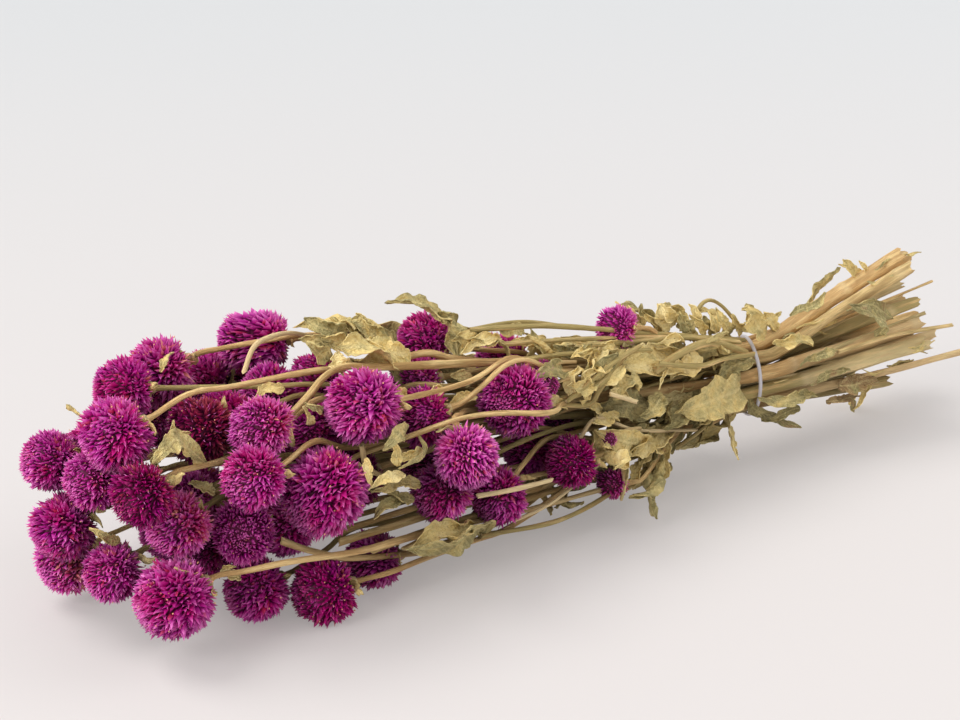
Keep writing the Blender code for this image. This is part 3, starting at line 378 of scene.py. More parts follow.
def planStems(heads):
    # The heads are shared out to the stalks by their bearing round the bunch; the one furthest out
    # ends its stalk and the others branch from it. A few stalks inside end at a cut only.
    bearing = np.degrees(np.arctan2(heads.centre[:, 2] - axisHeight(heads.centre[:, 0]),
                                    heads.centre[:, 1]))
    order = np.argsort((bearing + 90.0) % 360.0)
    stems, mains = [], []
    count = layout["stalkCount"]
    for group, members in enumerate(np.array_split(order, count)):
        angle = slotAngle(group)
        slot = around(angle, layout["slotRadius"])
        if group in cutEnds:
            cut = seenAt(*cutEnds[group])
        else:
            fan = layout["slotRadius"] * (1.55 + 0.45 * math.sin(2.4 * group))
            length = layout["stalkLength"] + 9.0 * math.sin(5.1 * group + 1.0)
            cut = cutEnd(angle + math.radians(24.0), fan, length, 4.0)
        members = sorted(members, key=lambda index: heads.centre[index, 0])
        for rank, index in enumerate(members):
            knots = headKnots(heads, index, slot)
            if rank == 0:
                way = [cut, 0.5 * (cut + slot), shifted(slot, 14.0), slot]
                mains.append(len(stems))
                stems.append(Stem(evenCurve(way + knots), group, index, None))
                continue
            main = stems[mains[group]].points
            points, root = branchFrom(main, evenCurve(knots), heads.centre[index, 0],
                                      heads.radius[index], (rank * 2) % 3)
            stems.append(Stem(points, group, index, (mains[group], root)))
    for side in range(layout["innerStalks"]):
        group = int(round((side + 0.25) * count / layout["innerStalks"])) % count
        angle = slotAngle(group)
        slot = around(angle, layout["innerSlotRadius"])
        cut = cutEnd(angle + math.radians(40.0), 14.0, 80.0 + 10.0 * math.sin(3 * side), 8.0)
        main = stems[mains[group]].points
        root = int(np.argmin(np.abs(main[:, 0] + layout["innerFork"])))
        way = [main[root], 0.5 * (slot + main[root]), shifted(slot, -8.0), shifted(slot, 12.0),
               0.5 * (slot + cut), cut]
        stems.append(Stem(evenCurve(way), group, None, (mains[group], root)))
    return stems


def nearestOfSegments(startA, runA, startB, runB):
    # How far along two segments their nearest places lie, and the step between them.
    gap = startA - startB
    aa, bb = (runA * runA).sum(1), (runB * runB).sum(1)
    ab, af, bf = (runA * runB).sum(1), (runA * gap).sum(1), (runB * gap).sum(1)
    spread = aa * bb - ab * ab
    s = np.where(spread > 1e-9, (ab * bf - af * bb) / np.maximum(spread, 1e-9), 0.5)
    s = np.clip(s, 0, 1)
    t = np.clip((ab * s + bf) / bb, 0, 1)
    s = np.clip((ab * t - af) / aa, 0, 1)
    return s, t, (startA + runA * s[:, None]) - (startB + runB * t[:, None])


class StemBundle:
    # All the points of all the stems in one array: smoothed, and pushed off the heads and each
    # other.
    def __init__(self, stems, heads):
        counts = [len(stem.points) for stem in stems]
        self.stems = stems
        self.start = np.concatenate([[0], np.cumsum(counts)])
        self.place = np.vstack([stem.points for stem in stems])
        self.radius = np.concatenate([stem.radius for stem in stems])
        self.stem = np.repeat(np.arange(len(stems)), counts)
        self.order = np.concatenate([np.arange(count) for count in counts])
        self.group = np.array([stem.group for stem in stems])[self.stem]
        owner = [-1 if stem.head is None else stem.head for stem in stems]
        self.owner = np.array(owner)[self.stem]
        self.branch = np.array([stem.root is not None for stem in stems])[self.stem]
        self.home = self.place.copy()
        self.fixed = np.zeros(len(self.place), bool)
        ends = self.start[1:] - 1
        self.fixed[ends[self.owner[ends] >= 0]] = True
        self.fixed[ends[self.owner[ends] >= 0] - 1] = True
        self.held = self.fixed | (np.abs(self.place[:, 0]) < easing["bandHalfLength"])
        inner = ~self.held
        inner[self.start[:-1]] = False
        inner[ends] = False
        self.inner = np.where(inner)[0]
        self.first = np.where(self.order < np.array(counts)[self.stem] - 1)[0]
        self.balls, self.sizes, self.ballOwner = heads.balls()

    def followRoots(self):
        # A branch starts where its stalk now is.
        for index, stem in enumerate(self.stems):
            if stem.root is not None:
                main, step = stem.root
                self.place[self.start[index]] = self.place[self.start[main] + step]

    def nearPairs(self):
        # Pairs of segments of two stems that may touch; a branch may touch its kin at its root.
        middle = 0.5 * (self.place[self.first] + self.place[self.first + 1])
        apart = lengths(middle[:, None] - middle[None])
        one, two = np.where(np.triu(apart < easing["pairReach"], 1))
        a, b = self.first[one], self.first[two]
        kin = self.group[a] == self.group[b]
        young = (self.order < 3) & self.branch
        keep = (self.stem[a] != self.stem[b]) & ~(kin & (young[a] | young[b]))
        return a[keep], b[keep], kin[keep]

    def pushFromHeads(self, move, count):
        # Each segment steps off the balls by what it lacks at its nearest place, shared out to its
        # two ends.
        a = self.place[self.first]
        run = self.place[self.first + 1] - a
        toward = self.balls[None] - a[:, None]
        t = np.clip((toward * run[:, None]).sum(2) / (run * run).sum(1)[:, None], 0, 1)
        apart = a[:, None] + t[..., None] * run[:, None] - self.balls[None]
        distance = lengths(apart) + 1e-9
        lack = (self.sizes[None] + self.radius[self.first][:, None] + layout["clearance"]
                - distance)
        lack[self.owner[self.first][:, None] == self.ballOwner[None]] = -1.0
        rows, columns = np.where(lack > 0)
        weight = lack[rows, columns] / distance[rows, columns]
        push = apart[rows, columns] * weight[:, None]
        self.spread(move, count, self.first[rows], push, t[rows, columns])

    def pushFromStems(self, move, count, pairs):
        # Segments that cross are pushed back to the side where they began.
        a, b, kin = pairs
        runA = self.place[a + 1] - self.place[a]
        runB = self.place[b + 1] - self.place[b]
        s, t, apart = nearestOfSegments(self.place[a], runA, self.place[b], runB)
        distance = lengths(apart) + 1e-9
        across = np.cross(runA, runB)
        across /= lengths(across)[:, None] + 1e-9
        side = np.sign((across * (self.home[a] - self.home[b])).sum(1))
        across *= np.where(side == 0, 1, side)[:, None]
        direction = np.where(distance[:, None] < 0.2, across, apart / distance[:, None])
        room = np.where(kin, easing["kinRoom"], layout["clearance"])
        lack = self.radius[a] + self.radius[b] + room - distance
        near = lack > 0
        push = direction[near] * lack[near][:, None] * 0.5
        self.spread(move, count, a[near], push, s[near])
        self.spread(move, count, b[near], -push, t[near])

    @staticmethod
    def spread(move, count, index, push, share):
        # Each push goes to the two ends of its segment.
        for end, part in ((index, 1 - share), (index + 1, share)):
            np.add.at(move, end, push * part[:, None])
            np.add.at(count, end, part)

    def settle(self):
        rounds = easing["stemRounds"]
        for turn in range(rounds):
            self.followRoots()
            inner = self.inner
            smooth = 0.5 * (self.place[inner - 1] + self.place[inner + 1]) - self.place[inner]
            last = turn >= rounds - easing["lastRounds"]
            self.place[inner] += easing["lastSmooth" if last else "smooth"] * smooth
            homeward = self.home[inner] - self.place[inner]
            self.place[inner] += easing["stemHomeward"] * homeward
            move = np.zeros_like(self.place)
            count = np.zeros(len(self.place))
            self.pushFromHeads(move, count)
            if turn % easing["pairsEvery"] == 0:
                pairs = self.nearPairs()
            self.pushFromStems(move, count, pairs)
            move /= np.maximum(count, 1.0)[:, None]
            move[self.held] = 0.0
            self.place += easing["stemPush"] * move
            low = self.radius + easing["stemHeight"] - self.place[:, 2]
            self.place[:, 2] += np.where((low > 0) & ~self.held, low, 0.0)
        self.followRoots()
        for index, stem in enumerate(self.stems):
            stem.points = self.place[self.start[index]:self.start[index + 1]]


heads = Heads()
heads.settle()
heads.turnClear()
stems = planStems(heads)
bundle = StemBundle(stems, heads)
bundle.settle()
print("heads and stems laid out:", heads.count, "heads,", len(stems), "stems")


class Heap:
    # Gathers the surfaces of one piece: places in millimetres, faces, and two vectors a point.
    def __init__(self):
        self.places, self.faces, self.grain, self.tint = [], [], [], []
        self.count = 0
        self.shadeLift = 1.0

    def add(self, places, faces, grain, tint):
        # grain and tint are three values each, spread over the grid of places.
        shape = places.shape[:-1]
        self.places.append(places.reshape(-1, 3))
        self.faces += [block.reshape(-1, block.shape[-1]) + self.count for block in faces]
        for rows, values in ((self.grain, grain), (self.tint, tint)):
            values = [np.broadcast_to(value, shape) for value in values]
            rows.append(np.stack(values, -1).reshape(-1, 3))
        self.count += len(self.places[-1])

    def makePiece(self, name, material, nodes, slot, sharpAngle=40.0, shelter=None):
        places = np.vstack(self.places)
        # How open each point is, which sets its painted shade, scaled by the piece's shade lift.
        openness = shelter.at(places) * self.shadeLift if shelter else np.ones(self.count)
        places = (places + bandFromMiddle) * 0.001
        places[:, 2] = np.maximum(places[:, 2], 0.0)
        corners = np.concatenate([block.ravel() for block in self.faces])
        sizes = np.concatenate([np.full(len(block), block.shape[1]) for block in self.faces])
        starts = np.concatenate([[0], np.cumsum(sizes)[:-1]])
        mesh = bpy.data.meshes.new(name)
        mesh.vertices.add(len(places))
        mesh.vertices.foreach_set("co", places.astype(np.float32).ravel())
        mesh.loops.add(len(corners))
        mesh.loops.foreach_set("vertex_index", corners.astype(np.int32))
        mesh.polygons.add(len(sizes))
        mesh.polygons.foreach_set("loop_start", starts.astype(np.int32))
        mesh.update(calc_edges=True)
        for key, kind, field, values in (
                ("grain", "FLOAT_VECTOR", "vector", np.vstack(self.grain)),
                ("tint", "FLOAT_VECTOR", "vector", np.vstack(self.tint)),
                ("open", "FLOAT", "value", openness)):
            layer = mesh.attributes.new(key, kind, "POINT")
            layer.data.foreach_set(field, values.astype(np.float32).ravel())
        mesh.shade_smooth()
        mesh.set_sharp_from_angle(angle=math.radians(sharpAngle))
        mesh.materials.append(material)
        piece = bpy.data.objects.new(name, mesh)
        bpy.context.scene.collection.objects.link(piece)
        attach(piece, "root")
        if nodes:
            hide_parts(*nodes)


sheltering = {
    "cell": 4.0,             # millimetres
    "pointCloses": 0.035,    # what one point of a surface adds to the closing of its cell
    "fullest": 1.1,
    "nearest": 2,            # cells walked in each direction
    "furthest": 14,
    "skies": ((15, 0.35, 8), (45, 0.8, 8), (90, 1.0, 1)),      # height, share, directions
}


class Shelter:
    # How open to the sky each place in the bunch is, which sets the painted shade that darkens
    # what lies deep. Points are counted into cells; a cell's openness is the mean, over directions
    # upwards and aside, of exp(minus the sum of the closing along the way), and between cells it
    # is blended.
    def __init__(self, places):
        cell, reach = sheltering["cell"], sheltering["furthest"]
        self.low = places.min(0) - cell
        self.shape = ((places.max(0) - self.low) / cell).astype(int) + 2
        index = ((places - self.low) / cell).astype(int)
        count = np.bincount(np.ravel_multi_index(index.T, self.shape),
                            minlength=int(self.shape.prod()))
        closing = np.minimum(count.reshape(self.shape) * sheltering["pointCloses"],
                             sheltering["fullest"])
        closing = np.pad(closing, reach)
        self.openness, total = 0.0, 0.0
        for height, share, spokes in sheltering["skies"]:
            for spoke in range(spokes):
                bearing, rise = 2 * math.pi * spoke / spokes, math.radians(height)
                way = np.array([math.cos(bearing) * math.cos(rise),
                                math.sin(bearing) * math.cos(rise), math.sin(rise)])
                passed = 0.0
                for step in range(sheltering["nearest"], reach):
                    start = np.round(way * step).astype(int) + reach
                    window = tuple(slice(a, a + b) for a, b in zip(start, self.shape))
                    passed = passed + closing[window]
                self.openness = self.openness + share * np.exp(-passed)
                total += share
        self.openness = self.openness / total

    def at(self, places):
        spot = (places - self.low) / sheltering["cell"] - 0.5
        base = np.floor(spot).astype(int)
        part = spot - base
        total = 0.0
        for corner in np.ndindex(2, 2, 2):
            index = np.clip(base + corner, 0, self.shape - 1)
            weight = np.where(corner, part, 1 - part).prod(1)
            total = total + weight * self.openness[tuple(index.T)]
        return total


def gridFaces(rows, columns, closed=False):
    # Four-sided faces of a grid of points; closed joins the last column to the first.
    row = np.arange(rows - 1)[:, None]
    column = np.arange(columns if closed else columns - 1)[None]
    after = (column + 1) % columns
    low = row * columns
    return np.stack([low + column, low + after, low + columns + after, low + columns + column],
                    -1).reshape(-1, 4)


def closedFaces(rows, columns):
    # A grid closed round its columns, with a fan to a point past its first and its last row.
    column = np.arange(columns)
    after = (column + 1) % columns
    last, pole = (rows - 1) * columns, np.full(columns, rows * columns)
    fans = np.concatenate([np.stack([after, column, pole], -1),
                           np.stack([column + last, after + last, pole + 1], -1)])
    return [gridFaces(rows, columns, True), fans]


def sheetNormals(surface):
    return units(np.cross(np.gradient(surface, axis=0), np.gradient(surface, axis=1)))


def sheetShell(surface, halfThickness):
    # A grid of points becomes a closed thin shell: both faces half a thickness off, joined by a
    # rim.
    rows, columns = surface.shape[:2]
    offset = sheetNormals(surface) * halfThickness[..., None]
    faces = gridFaces(rows, columns)
    count = rows * columns
    index = np.arange(count).reshape(rows, columns)
    rim = np.concatenate([index[0, :-1], index[:-1, -1], index[-1, :0:-1], index[:0:-1, 0]])
    after = np.roll(rim, -1)
    edge = np.stack([rim, rim + count, after + count, after], -1)
    return np.stack([surface + offset, surface - offset]), [faces[:, ::-1], faces + count, edge]


# Shader maths

class Wire:
    # One output socket, so that sums on values read as plain expressions.
    def __init__(self, finish, socket):
        self.finish = finish
        self.socket = socket

    def maths(self, operation, first, second):
        return self.finish.node("ShaderNodeMath", {"operation": operation}, {0: first, 1: second})

    def __add__(self, other):
        return self.maths("ADD", self, other)

    def __sub__(self, other):
        return self.maths("SUBTRACT", self, other)

    def __rsub__(self, other):
        return self.maths("SUBTRACT", other, self)

    def __mul__(self, other):
        return self.maths("MULTIPLY", self, other)

    __radd__ = __add__
    __rmul__ = __mul__


class Finish:
    # One material under work.
    def __init__(self, name, **fixed):
        self.material = bpy.data.materials.new(name)
        self.material.use_nodes = True
        self.tree = self.material.node_tree
        self.shader = self.tree.nodes["Principled BSDF"]
        for socket, value in fixed.items():
            self.shader.inputs[socket.replace("_", " ")].default_value = value

    def node(self, kind, settings=None, inputs=None, output=0):
        made = self.tree.nodes.new(kind)
        for key, value in (settings or {}).items():
            setattr(made, key, value)
        for key, value in (inputs or {}).items():
            self.feed(made.inputs[key], value)
        return Wire(self, made.outputs[output])

    def feed(self, socket, value):
        if isinstance(value, Wire):
            self.tree.links.new(value.socket, socket)
        elif socket.type == "RGBA" and len(value) == 3:
            socket.default_value = (*value, 1.0)
        else:
            socket.default_value = value

    def attribute(self, name, output=1):
        return self.node("ShaderNodeAttribute", {"attribute_name": name}, output=output)

    def parts(self, name):
        vector = self.attribute(name)
        return [self.node("ShaderNodeSeparateXYZ", None, {0: vector}, k) for k in range(3)]

    def paintedShade(self, colour, least):
        # Painted shade: darker where the bunch closes over a place.
        shade = self.between(self.attribute("open", 2), 0.03, 0.54, least, 1.0)
        return self.mix(1.0, colour, shade, "MULTIPLY")

    def noise(self, vector, scale, detail=4.0, rough=0.55):
        return self.node("ShaderNodeTexNoise", None, {"Vector": vector, "Scale": scale,
                                                      "Detail": detail, "Roughness": rough})

    def grained(self, grain, stretch, detail=3.0, rough=0.55):
        # Noise on a place that is first stretched by a vector.
        place = self.node("ShaderNodeVectorMath", {"operation": "MULTIPLY"}, {0: grain, 1: stretch})
        return self.noise(place, 1.0, detail, rough)

    def between(self, value, low, high, toLow=0.0, toHigh=1.0):
        return self.node("ShaderNodeMapRange", {"interpolation_type": "SMOOTHSTEP"},
                         {0: value, 1: low, 2: high, 3: toLow, 4: toHigh})

    def mix(self, factor, first, second, blend="MIX"):
        return self.node("ShaderNodeMix", {"data_type": "RGBA", "blend_type": blend},
                         {0: factor, 6: first, 7: second}, output=2)

    def bump(self, height, strength, distance):
        return self.node("ShaderNodeBump", None, {"Height": height, "Strength": strength,
                                                  "Distance": distance})

    def done(self, **links):
        for socket, value in links.items():
            self.feed(self.shader.inputs[socket.replace("_", " ")], value)
        return self.material


bractColours = {
    # deep is painted shade: the colour of a bract's sunk foot and of the core between the bracts
    "deep": (0.090, 0.000, 0.030),
    "body": (0.590, 0.004, 0.222),
    "violet": (0.480, 0.009, 0.350),
    "red": (0.640, 0.026, 0.095),
    "light": (0.920, 0.245, 0.640),
    "straw": (0.920, 0.430, 0.290),
    "anther": (0.880, 0.450, 0.240),
}


def bractFinish():
    # tint holds the rise along a bract, its own tone and its zone from tip to base of the head;
    # grain holds kind, how faded it is and how near its edge a point is.
    look = bractColours
    f = Finish("driedBracts", Specular_IOR_Level=0.38)
    rise, tone, zone = f.parts("tint")
    kind, fade, edge = f.parts("grain")
    place = f.node("ShaderNodeTexCoord", output=3)
    speck = f.noise(place, 700.0, 3.0)
    patch = f.noise(place, 90.0, 2.0)
    rib = f.noise(place, 2600.0, 2.0)
    violet = f.between(patch + tone * 0.3, 0.46, 0.82, 0.0, 0.75)
    red = f.between(fade + speck * 0.25, 0.38, 0.72, 0.0, 0.9)
    pale = f.between(rise, 0.40, 1.0) * f.between(tone + speck * 0.6, 0.45, 1.15, 0.10, 0.95)
    crown = f.between(zone, 0.06, 0.22, 0.66, 0.0) * f.between(rise, 0.25, 0.9)
    bleached = f.between(fade, 0.55, 0.85, 0.0, 0.85) * f.between(rise, 0.2, 0.8)
    colour = f.mix(violet, look["body"], look["violet"])
    colour = f.mix(red, colour, look["red"])
    # Painted shade: the deep colour where a bract's foot sinks between the others.
    colour = f.mix(f.between(rise, 0.10, 0.60), look["deep"], colour)
    colour = f.mix(pale * f.between(edge, 0.0, 1.0, 0.55, 1.0), colour, look["light"])
    colour = f.mix(crown, colour, look["light"])
    colour = f.mix(bleached, colour, look["straw"])
    colour = f.mix(f.between(kind, 0.25, 0.45, 0.0, 0.7), colour, look["light"])
    colour = f.mix(f.between(kind, 0.75, 0.95), colour, look["anther"])
    dull = f.between(rise, 0.05, 0.35, 0.42, 0.0)
    return f.done(Base_Color=f.paintedShade(colour, 0.36),
                  Roughness=f.between(speck, 0.3, 0.7, 0.26, 0.46) + dull,
                  Normal=f.bump(rib, 0.35, 0.0002))


plantColours = {
    "straw": (1.000, 0.720, 0.330),
    "tan": (0.860, 0.545, 0.225),
    "rust": (0.600, 0.300, 0.110),
    "olive": (0.440, 0.350, 0.125),
    "brown": (0.200, 0.100, 0.040),
    "pith": (0.980, 0.790, 0.450),
    "moss": (0.350, 0.300, 0.125),
    "sage": (0.640, 0.510, 0.205),
    "leafTan": (0.880, 0.660, 0.250),
    "leafPale": (1.000, 0.820, 0.400),
    "leafBrown": (0.290, 0.165, 0.065),
    "leafRust": (0.380, 0.230, 0.105),
}


def plantFinish():
    # tint holds kind (0 stem, 1 leaf), tone and a mask for veins, joints and cuts; grain is a
    # place on the surface in millimetres: round the stem and along it, or across the leaf and
    # along it.
    look = plantColours
    f = Finish("driedStemsAndLeaves", Specular_IOR_Level=0.25)
    kind, tone, mask = f.parts("tint")
    grain = f.attribute("grain")
    streak = f.grained(grain, (2.6, 0.09, 2.6), 5.0)
    thread = f.grained(grain, (7.0, 0.16, 7.0))
    blotch = f.grained(grain, (0.5, 0.05, 0.5))
    mottle = f.grained(grain, (0.20, 0.20, 1.0), 5.0, 0.6)
    fine = f.grained(grain, (1.1, 1.1, 1.0), 5.0, 0.6)
    fold = f.grained(grain, (0.26, 0.26, 1.0), 3.0, 0.6)
    crease = fold.maths("ABSOLUTE", fold - 0.5, 0.0)
    stem = f.mix(f.between(streak, 0.33, 0.57), look["tan"], look["straw"])
    stem = f.mix(f.between(blotch + tone * 0.35, 0.52, 0.80, 0.0, 0.85), stem, look["olive"])
    stem = f.mix(f.between(blotch - tone * 0.30, 0.32, 0.50, 0.0, 0.55), stem, look["rust"])
    stem = f.mix(f.between(thread, 0.54, 0.74, 0.0, 0.55), stem, look["brown"])
    stem = f.mix(f.between(mask, 0.1, 0.9, 0.0, 0.7), stem, look["pith"])
    patch = mottle + tone
    leaf = f.mix(f.between(patch, 0.05, 0.38), look["leafRust"], look["moss"])
    leaf = f.mix(f.between(patch, 0.55, 0.90), leaf, look["sage"])
    leaf = f.mix(f.between(patch, 0.85, 1.15), leaf, look["leafTan"])
    leaf = f.mix(f.between(patch, 1.18, 1.50, 0.0, 0.85), leaf, look["leafPale"])
    leaf = f.mix(f.between(fine, 0.58, 0.76, 0.0, 0.65), leaf, look["leafBrown"])
    # Pale on the crest of each bumped fold with rust beside it: partly the leaf's own colour,
    # partly painted highlight and shade.
    leaf = f.mix(f.between(crease, 0.0, 0.022, 0.45, 0.0), leaf, look["leafPale"])
    leaf = f.mix(f.between(crease, 0.06, 0.18, 0.0, 0.22), leaf, look["leafRust"])
    leaf = f.mix(mask * 0.5, leaf, look["leafPale"])
    colour = f.paintedShade(f.mix(kind, stem, leaf), 0.50)
    relief = (streak + thread) * (1.0 - kind) + (fine + mottle * 1.5 - crease * 7.0) * kind
    return f.done(Base_Color=colour, Roughness=f.between(streak, 0.3, 0.7, 0.60, 0.82),
                  Normal=f.bump(relief, 0.85, 0.0007))


# Flower heads

bracts = {
    "florets": 430,          # on a head of 12 mm radius
    "lowest": 150.0,         # degrees from the tip to the last row
    "crowding": 0.64,        # above 0.5 the florets are closer together at the tip
    # by zone from tip to base, as shares of the head's radius: a bract's foot, its point, half
    # width and how far it leans towards the tip
    "zones": (0.0, 0.10, 0.22, 0.50, 0.83),
    "inner": (0.780, 0.775, 0.765, 0.740, 0.680),
    "outer": (0.905, 0.925, 0.955, 1.000, 1.060),
    "outerSpread": 0.088,
    "disorder": 0.062,       # how far a bract leans out of its row
    "halfWidth": (0.048, 0.060, 0.074, 0.090, 0.112),
    "lean": (0.010, 0.050, 0.090, 0.120, 0.100),
    "lumps": 0.085,
    "tufts": 0.055,
    "stations": (0.0, 0.42),
    "widths": (1.0, 0.90),
    "core": 0.800,
    "threads": 0.55,         # share of the florets with one
    "flowers": 0.10,
}

# How faded, and how light, some heads are: lightness is partly a head's own colour and partly
# painted light and shade, low for heads that lie in shade
headMoods = {
    1: (0.15, 0.25), 2: (0.08, -0.25), 3: (0.05, 0.0), 4: (0.08, 0.25), 5: (0.05, 0.35),
    6: (0.25, -0.95), 8: (0.6, 0.7), 9: (0.1, 0.2), 10: (0.0, 0.0), 11: (0.35, 0.6),
    12: (0.2, 0.6), 13: (0.55, -1.1), 14: (0.2, -0.3), 15: (0.0, 0.3), 16: (0.3, 0.6),
    18: (0.0, 0.1), 19: (0.05, 0.25), 21: (0.05, 0.1), 22: (0.0, 1.0), 24: (0.0, 0.1),
    25: (0.15, -0.8), 28: (0.1, -0.1), 29: (0.1, 0.6), 30: (0.1, 0.1), 32: (0.0, 0.1),
    34: (0.0, -0.9), 36: (0.1, 0.2), 37: (0.0, 0.2), 39: (0.1, -1.0), 40: (0.0, 0.6),
}

# Heads deep in the bunch whose painted shade is lifted (above 1) or deepened (below 1): their
# openness is multiplied
headShadeLift = {
    5: 2.0, 8: 1.8, 9: 1.3, 11: 3.5, 12: 7.0, 16: 2.6, 18: 3.0, 22: 16.0, 24: 1.7, 30: 1.6,
    37: 1.5, 39: 0.6, 40: 7.0, 41: 1.8,
}


def ball(heap, centre, turn, size, rows, columns, grain, tint, bumps):
    # A closed ball: rings of points from pole to pole, with a low wave over it.
    polar = np.linspace(0, math.pi, rows + 2)[1:-1, None]
    bearing = np.arange(columns)[None] * 2 * math.pi / columns
    reach = 1.0 + bumps * np.sin(7 * bearing + 5 * polar) * np.sin(polar * 9)
    ring = np.stack([np.sin(polar) * np.cos(bearing) * reach,
                     np.sin(polar) * np.sin(bearing) * reach,
                     np.cos(polar) * reach + 0 * bearing], -1).reshape(-1, 3)
    local = np.vstack([ring, [[0, 0, 1.0], [0, 0, -1.0]]]) * size
    faces = [block[:, ::-1] for block in closedFaces(rows, columns)]
    heap.add(centre + local @ turn, faces, grain, tint)


def headTurn(facing, spin):
    # Rows are the head's own axes in the bunch's: two across and the facing.
    side = unit(np.cross(facing, np.array([0.31, 0.17, 1.0])))
    other = np.cross(facing, side)
    c, s = math.cos(spin), math.sin(spin)
    return np.array([side * c + other * s, other * c - side * s, facing])


def placed(points, head):
    # From the head's own axes to the bunch's. On a long head, what is above its middle moves up
    # and what is below moves down.
    height = points[..., 2] / head.radius
    points[..., 2] += ((head.stretch - 1.0) * head.radius * np.sign(height)
                       * np.minimum(1.0, np.abs(height) / 0.3))
    return head.centre + (points.reshape(-1, 3) @ head.turn).reshape(points.shape)


class Florets:
    # The florets of one head sit at golden-angle steps, closer together at the tip: their
    # directions, their places from tip to base and their sizes.
    def __init__(self, centre, radius, facing, stretch, seed):
        self.centre, self.radius, self.stretch = centre, radius, stretch
        self.turn = headTurn(facing, 2.4 * seed)
        self.rng = rng = np.random.default_rng(500 + seed)
        self.count = count = int(bracts["florets"] * (radius / 12.0) ** 1.5)
        number = np.arange(count)
        polar = (math.radians(bracts["lowest"]) * ((number + 0.5) / count) ** bracts["crowding"]
                 + rng.normal(0, 0.014, count))
        bearing = golden * number + rng.normal(0, 0.02, count) / np.maximum(np.sin(polar), 0.2)
        ring, height = np.sin(polar), np.cos(polar)
        self.out = np.stack([ring * np.cos(bearing), ring * np.sin(bearing), height], -1)
        self.tipward = np.stack([-height * np.cos(bearing), -height * np.sin(bearing), ring], -1)
        self.aside = np.cross(self.out, self.tipward)
        swing = rng.normal(0, 0.40, count)[:, None]
        self.wing = np.cos(swing) * self.aside + np.sin(swing) * self.tipward
        self.flat = np.cross(self.out, self.wing)
        self.zone = polar / math.pi
        self.size = self.byZone("halfWidth") * rng.uniform(0.82, 1.18, count)

    def byZone(self, key):
        return self.radius * np.interp(self.zone, bracts["zones"], bracts[key])


def growHead(heap, centre, radius, facing, stretch, seed, mood):
    # Each floret is two keeled bracts back to back, whose three-cornered rings run from a foot
    # inside the head to a point, with a thread between them. Lumps and tufts are products of sines
    # over the head.
    head = Florets(centre, radius, facing, stretch, seed)
    rng, count, out, zone = head.rng, head.count, head.out, head.zone
    fade, light = mood
    x, y, z = out.T
    loose = np.interp(zone, [0, 0.15, 0.3], [0.15, 0.6, 1.0])
    stray = bracts["disorder"] * radius * loose
    lean = head.byZone("lean") + rng.normal(0, 1, count) * stray
    sway = rng.normal(0, 1, count) * stray
    lump = bracts["lumps"] * np.sin(2.7 * x + seed) * np.sin(2.3 * y + 1.7 * seed)
    tuft = bracts["tufts"] * (np.sin(9.0 * x + 2.0 * seed) * np.sin(8.0 * y + seed)
                              * np.sin(10.0 * z + 0.6))
    spread = bracts["outerSpread"] * rng.uniform(-0.8, 1.0, count)
    outer = head.byZone("outer") + radius * (lump + tuft + spread) * loose
    inner = head.byZone("inner")
    flare = (rng.uniform(0.0, 1.0, (count, 2))
             * np.interp(zone, [0, 0.15, 0.3, 0.8], [0.2, 0.6, 1.0, 1.5])[:, None])

    def each(values):
        return values.reshape(count, 1, 1, -1)

    # from here on the axes are floret, side, station along the bract, and x, y, z
    rise = np.array(bracts["stations"] + (1.0,))
    s = rise[:, None]
    side = np.array([1.0, -1.0])[:, None, None]
    hold = each(head.size)
    line = (each(out) * (each(inner) + each(outer - inner) * s)
            + each(head.tipward * lean[:, None] + head.aside * sway[:, None]) * s ** 1.6
            + each(head.wing) * side * hold * (0.50 + 0.30 * s
                                               + flare[..., None, None] * 0.7 * s ** 3))
    half = hold * np.array(bracts["widths"] + (0.0,))[:, None]
    keelOut = each(head.wing) * side * half
    edgeOut = each(head.flat) * half
    corners = np.stack([line + edgeOut - keelOut * 0.40, line + keelOut * 0.50,
                        line - edgeOut - keelOut * 0.40], 3)
    corners = np.where(side[..., None] > 0, corners, corners[:, :, :, [2, 1, 0]])
    points = np.concatenate([corners[:, :, :-1].reshape(count * 2, -1, 3),
                             line[:, :, -1].reshape(count * 2, 1, 3)], 1)
    stations = len(bracts["stations"])
    rings = stations * 3
    point = np.array([[rings - 3 + c, rings - 3 + (c + 1) % 3, rings] for c in range(3)])
    offset = (np.arange(count * 2) * (rings + 1))[:, None, None]
    faces = [block + offset for block in (gridFaces(stations, 3, True), point,
                                          np.array([[2, 1, 0]]))]
    # A negative lightness pulls a whole head towards the deep colour: painted shade.
    shade = np.append(np.repeat(rise[:-1], 3), 1.0) * min(1.0, 1.0 + 0.5 * light)
    nearEdge = np.append(np.tile([1.0, 0.15, 1.0], stations), 0.8)
    patch = 0.5 + 0.5 * np.sin(3.1 * x + 2.0 * z + seed) * np.sin(2.6 * y + 0.7 * seed)
    # Lightness also raises or lowers every bract's tone: partly the head's own colour, partly
    # painted light.
    tone = np.clip(0.6 * rng.uniform(0, 1, (count, 2)) + 0.4 * patch[:, None] + light * 0.5, 0, 1)
    onSide = np.clip(0.5 - 0.8 * out @ head.turn @ unit(np.array([-1.0, 0.2, -0.4])), 0, 1)
    late = zone[:, None]
    old = fade * (0.5 + onSide[:, None]) * rng.uniform(0.4, 1.1, (count, 2)) + 0.30 * late ** 3
    spotted = rng.uniform(0, 1, (count, 2)) < 0.03 + 0.10 * late ** 2
    old = np.clip(old + spotted * 0.5, 0, 1)
    heap.add(placed(points, head), faces, (0.0, old.reshape(-1, 1), nearEdge),
             (shade, tone.reshape(-1, 1), np.repeat(late, 2, 0)))
    addThreads(heap, head, outer, inner)
    # A dark core ball behind the bracts, in the deep painted shade of their feet.
    core = radius * bracts["core"] * np.array([1.0, 1.0, 1.0 + (stretch - 1.0) / bracts["core"]])
    ball(heap, centre, head.turn, core, 12, 18, (0.0, 0.1, 0.0), (0.15, 0.3, 0.5), 0.05)


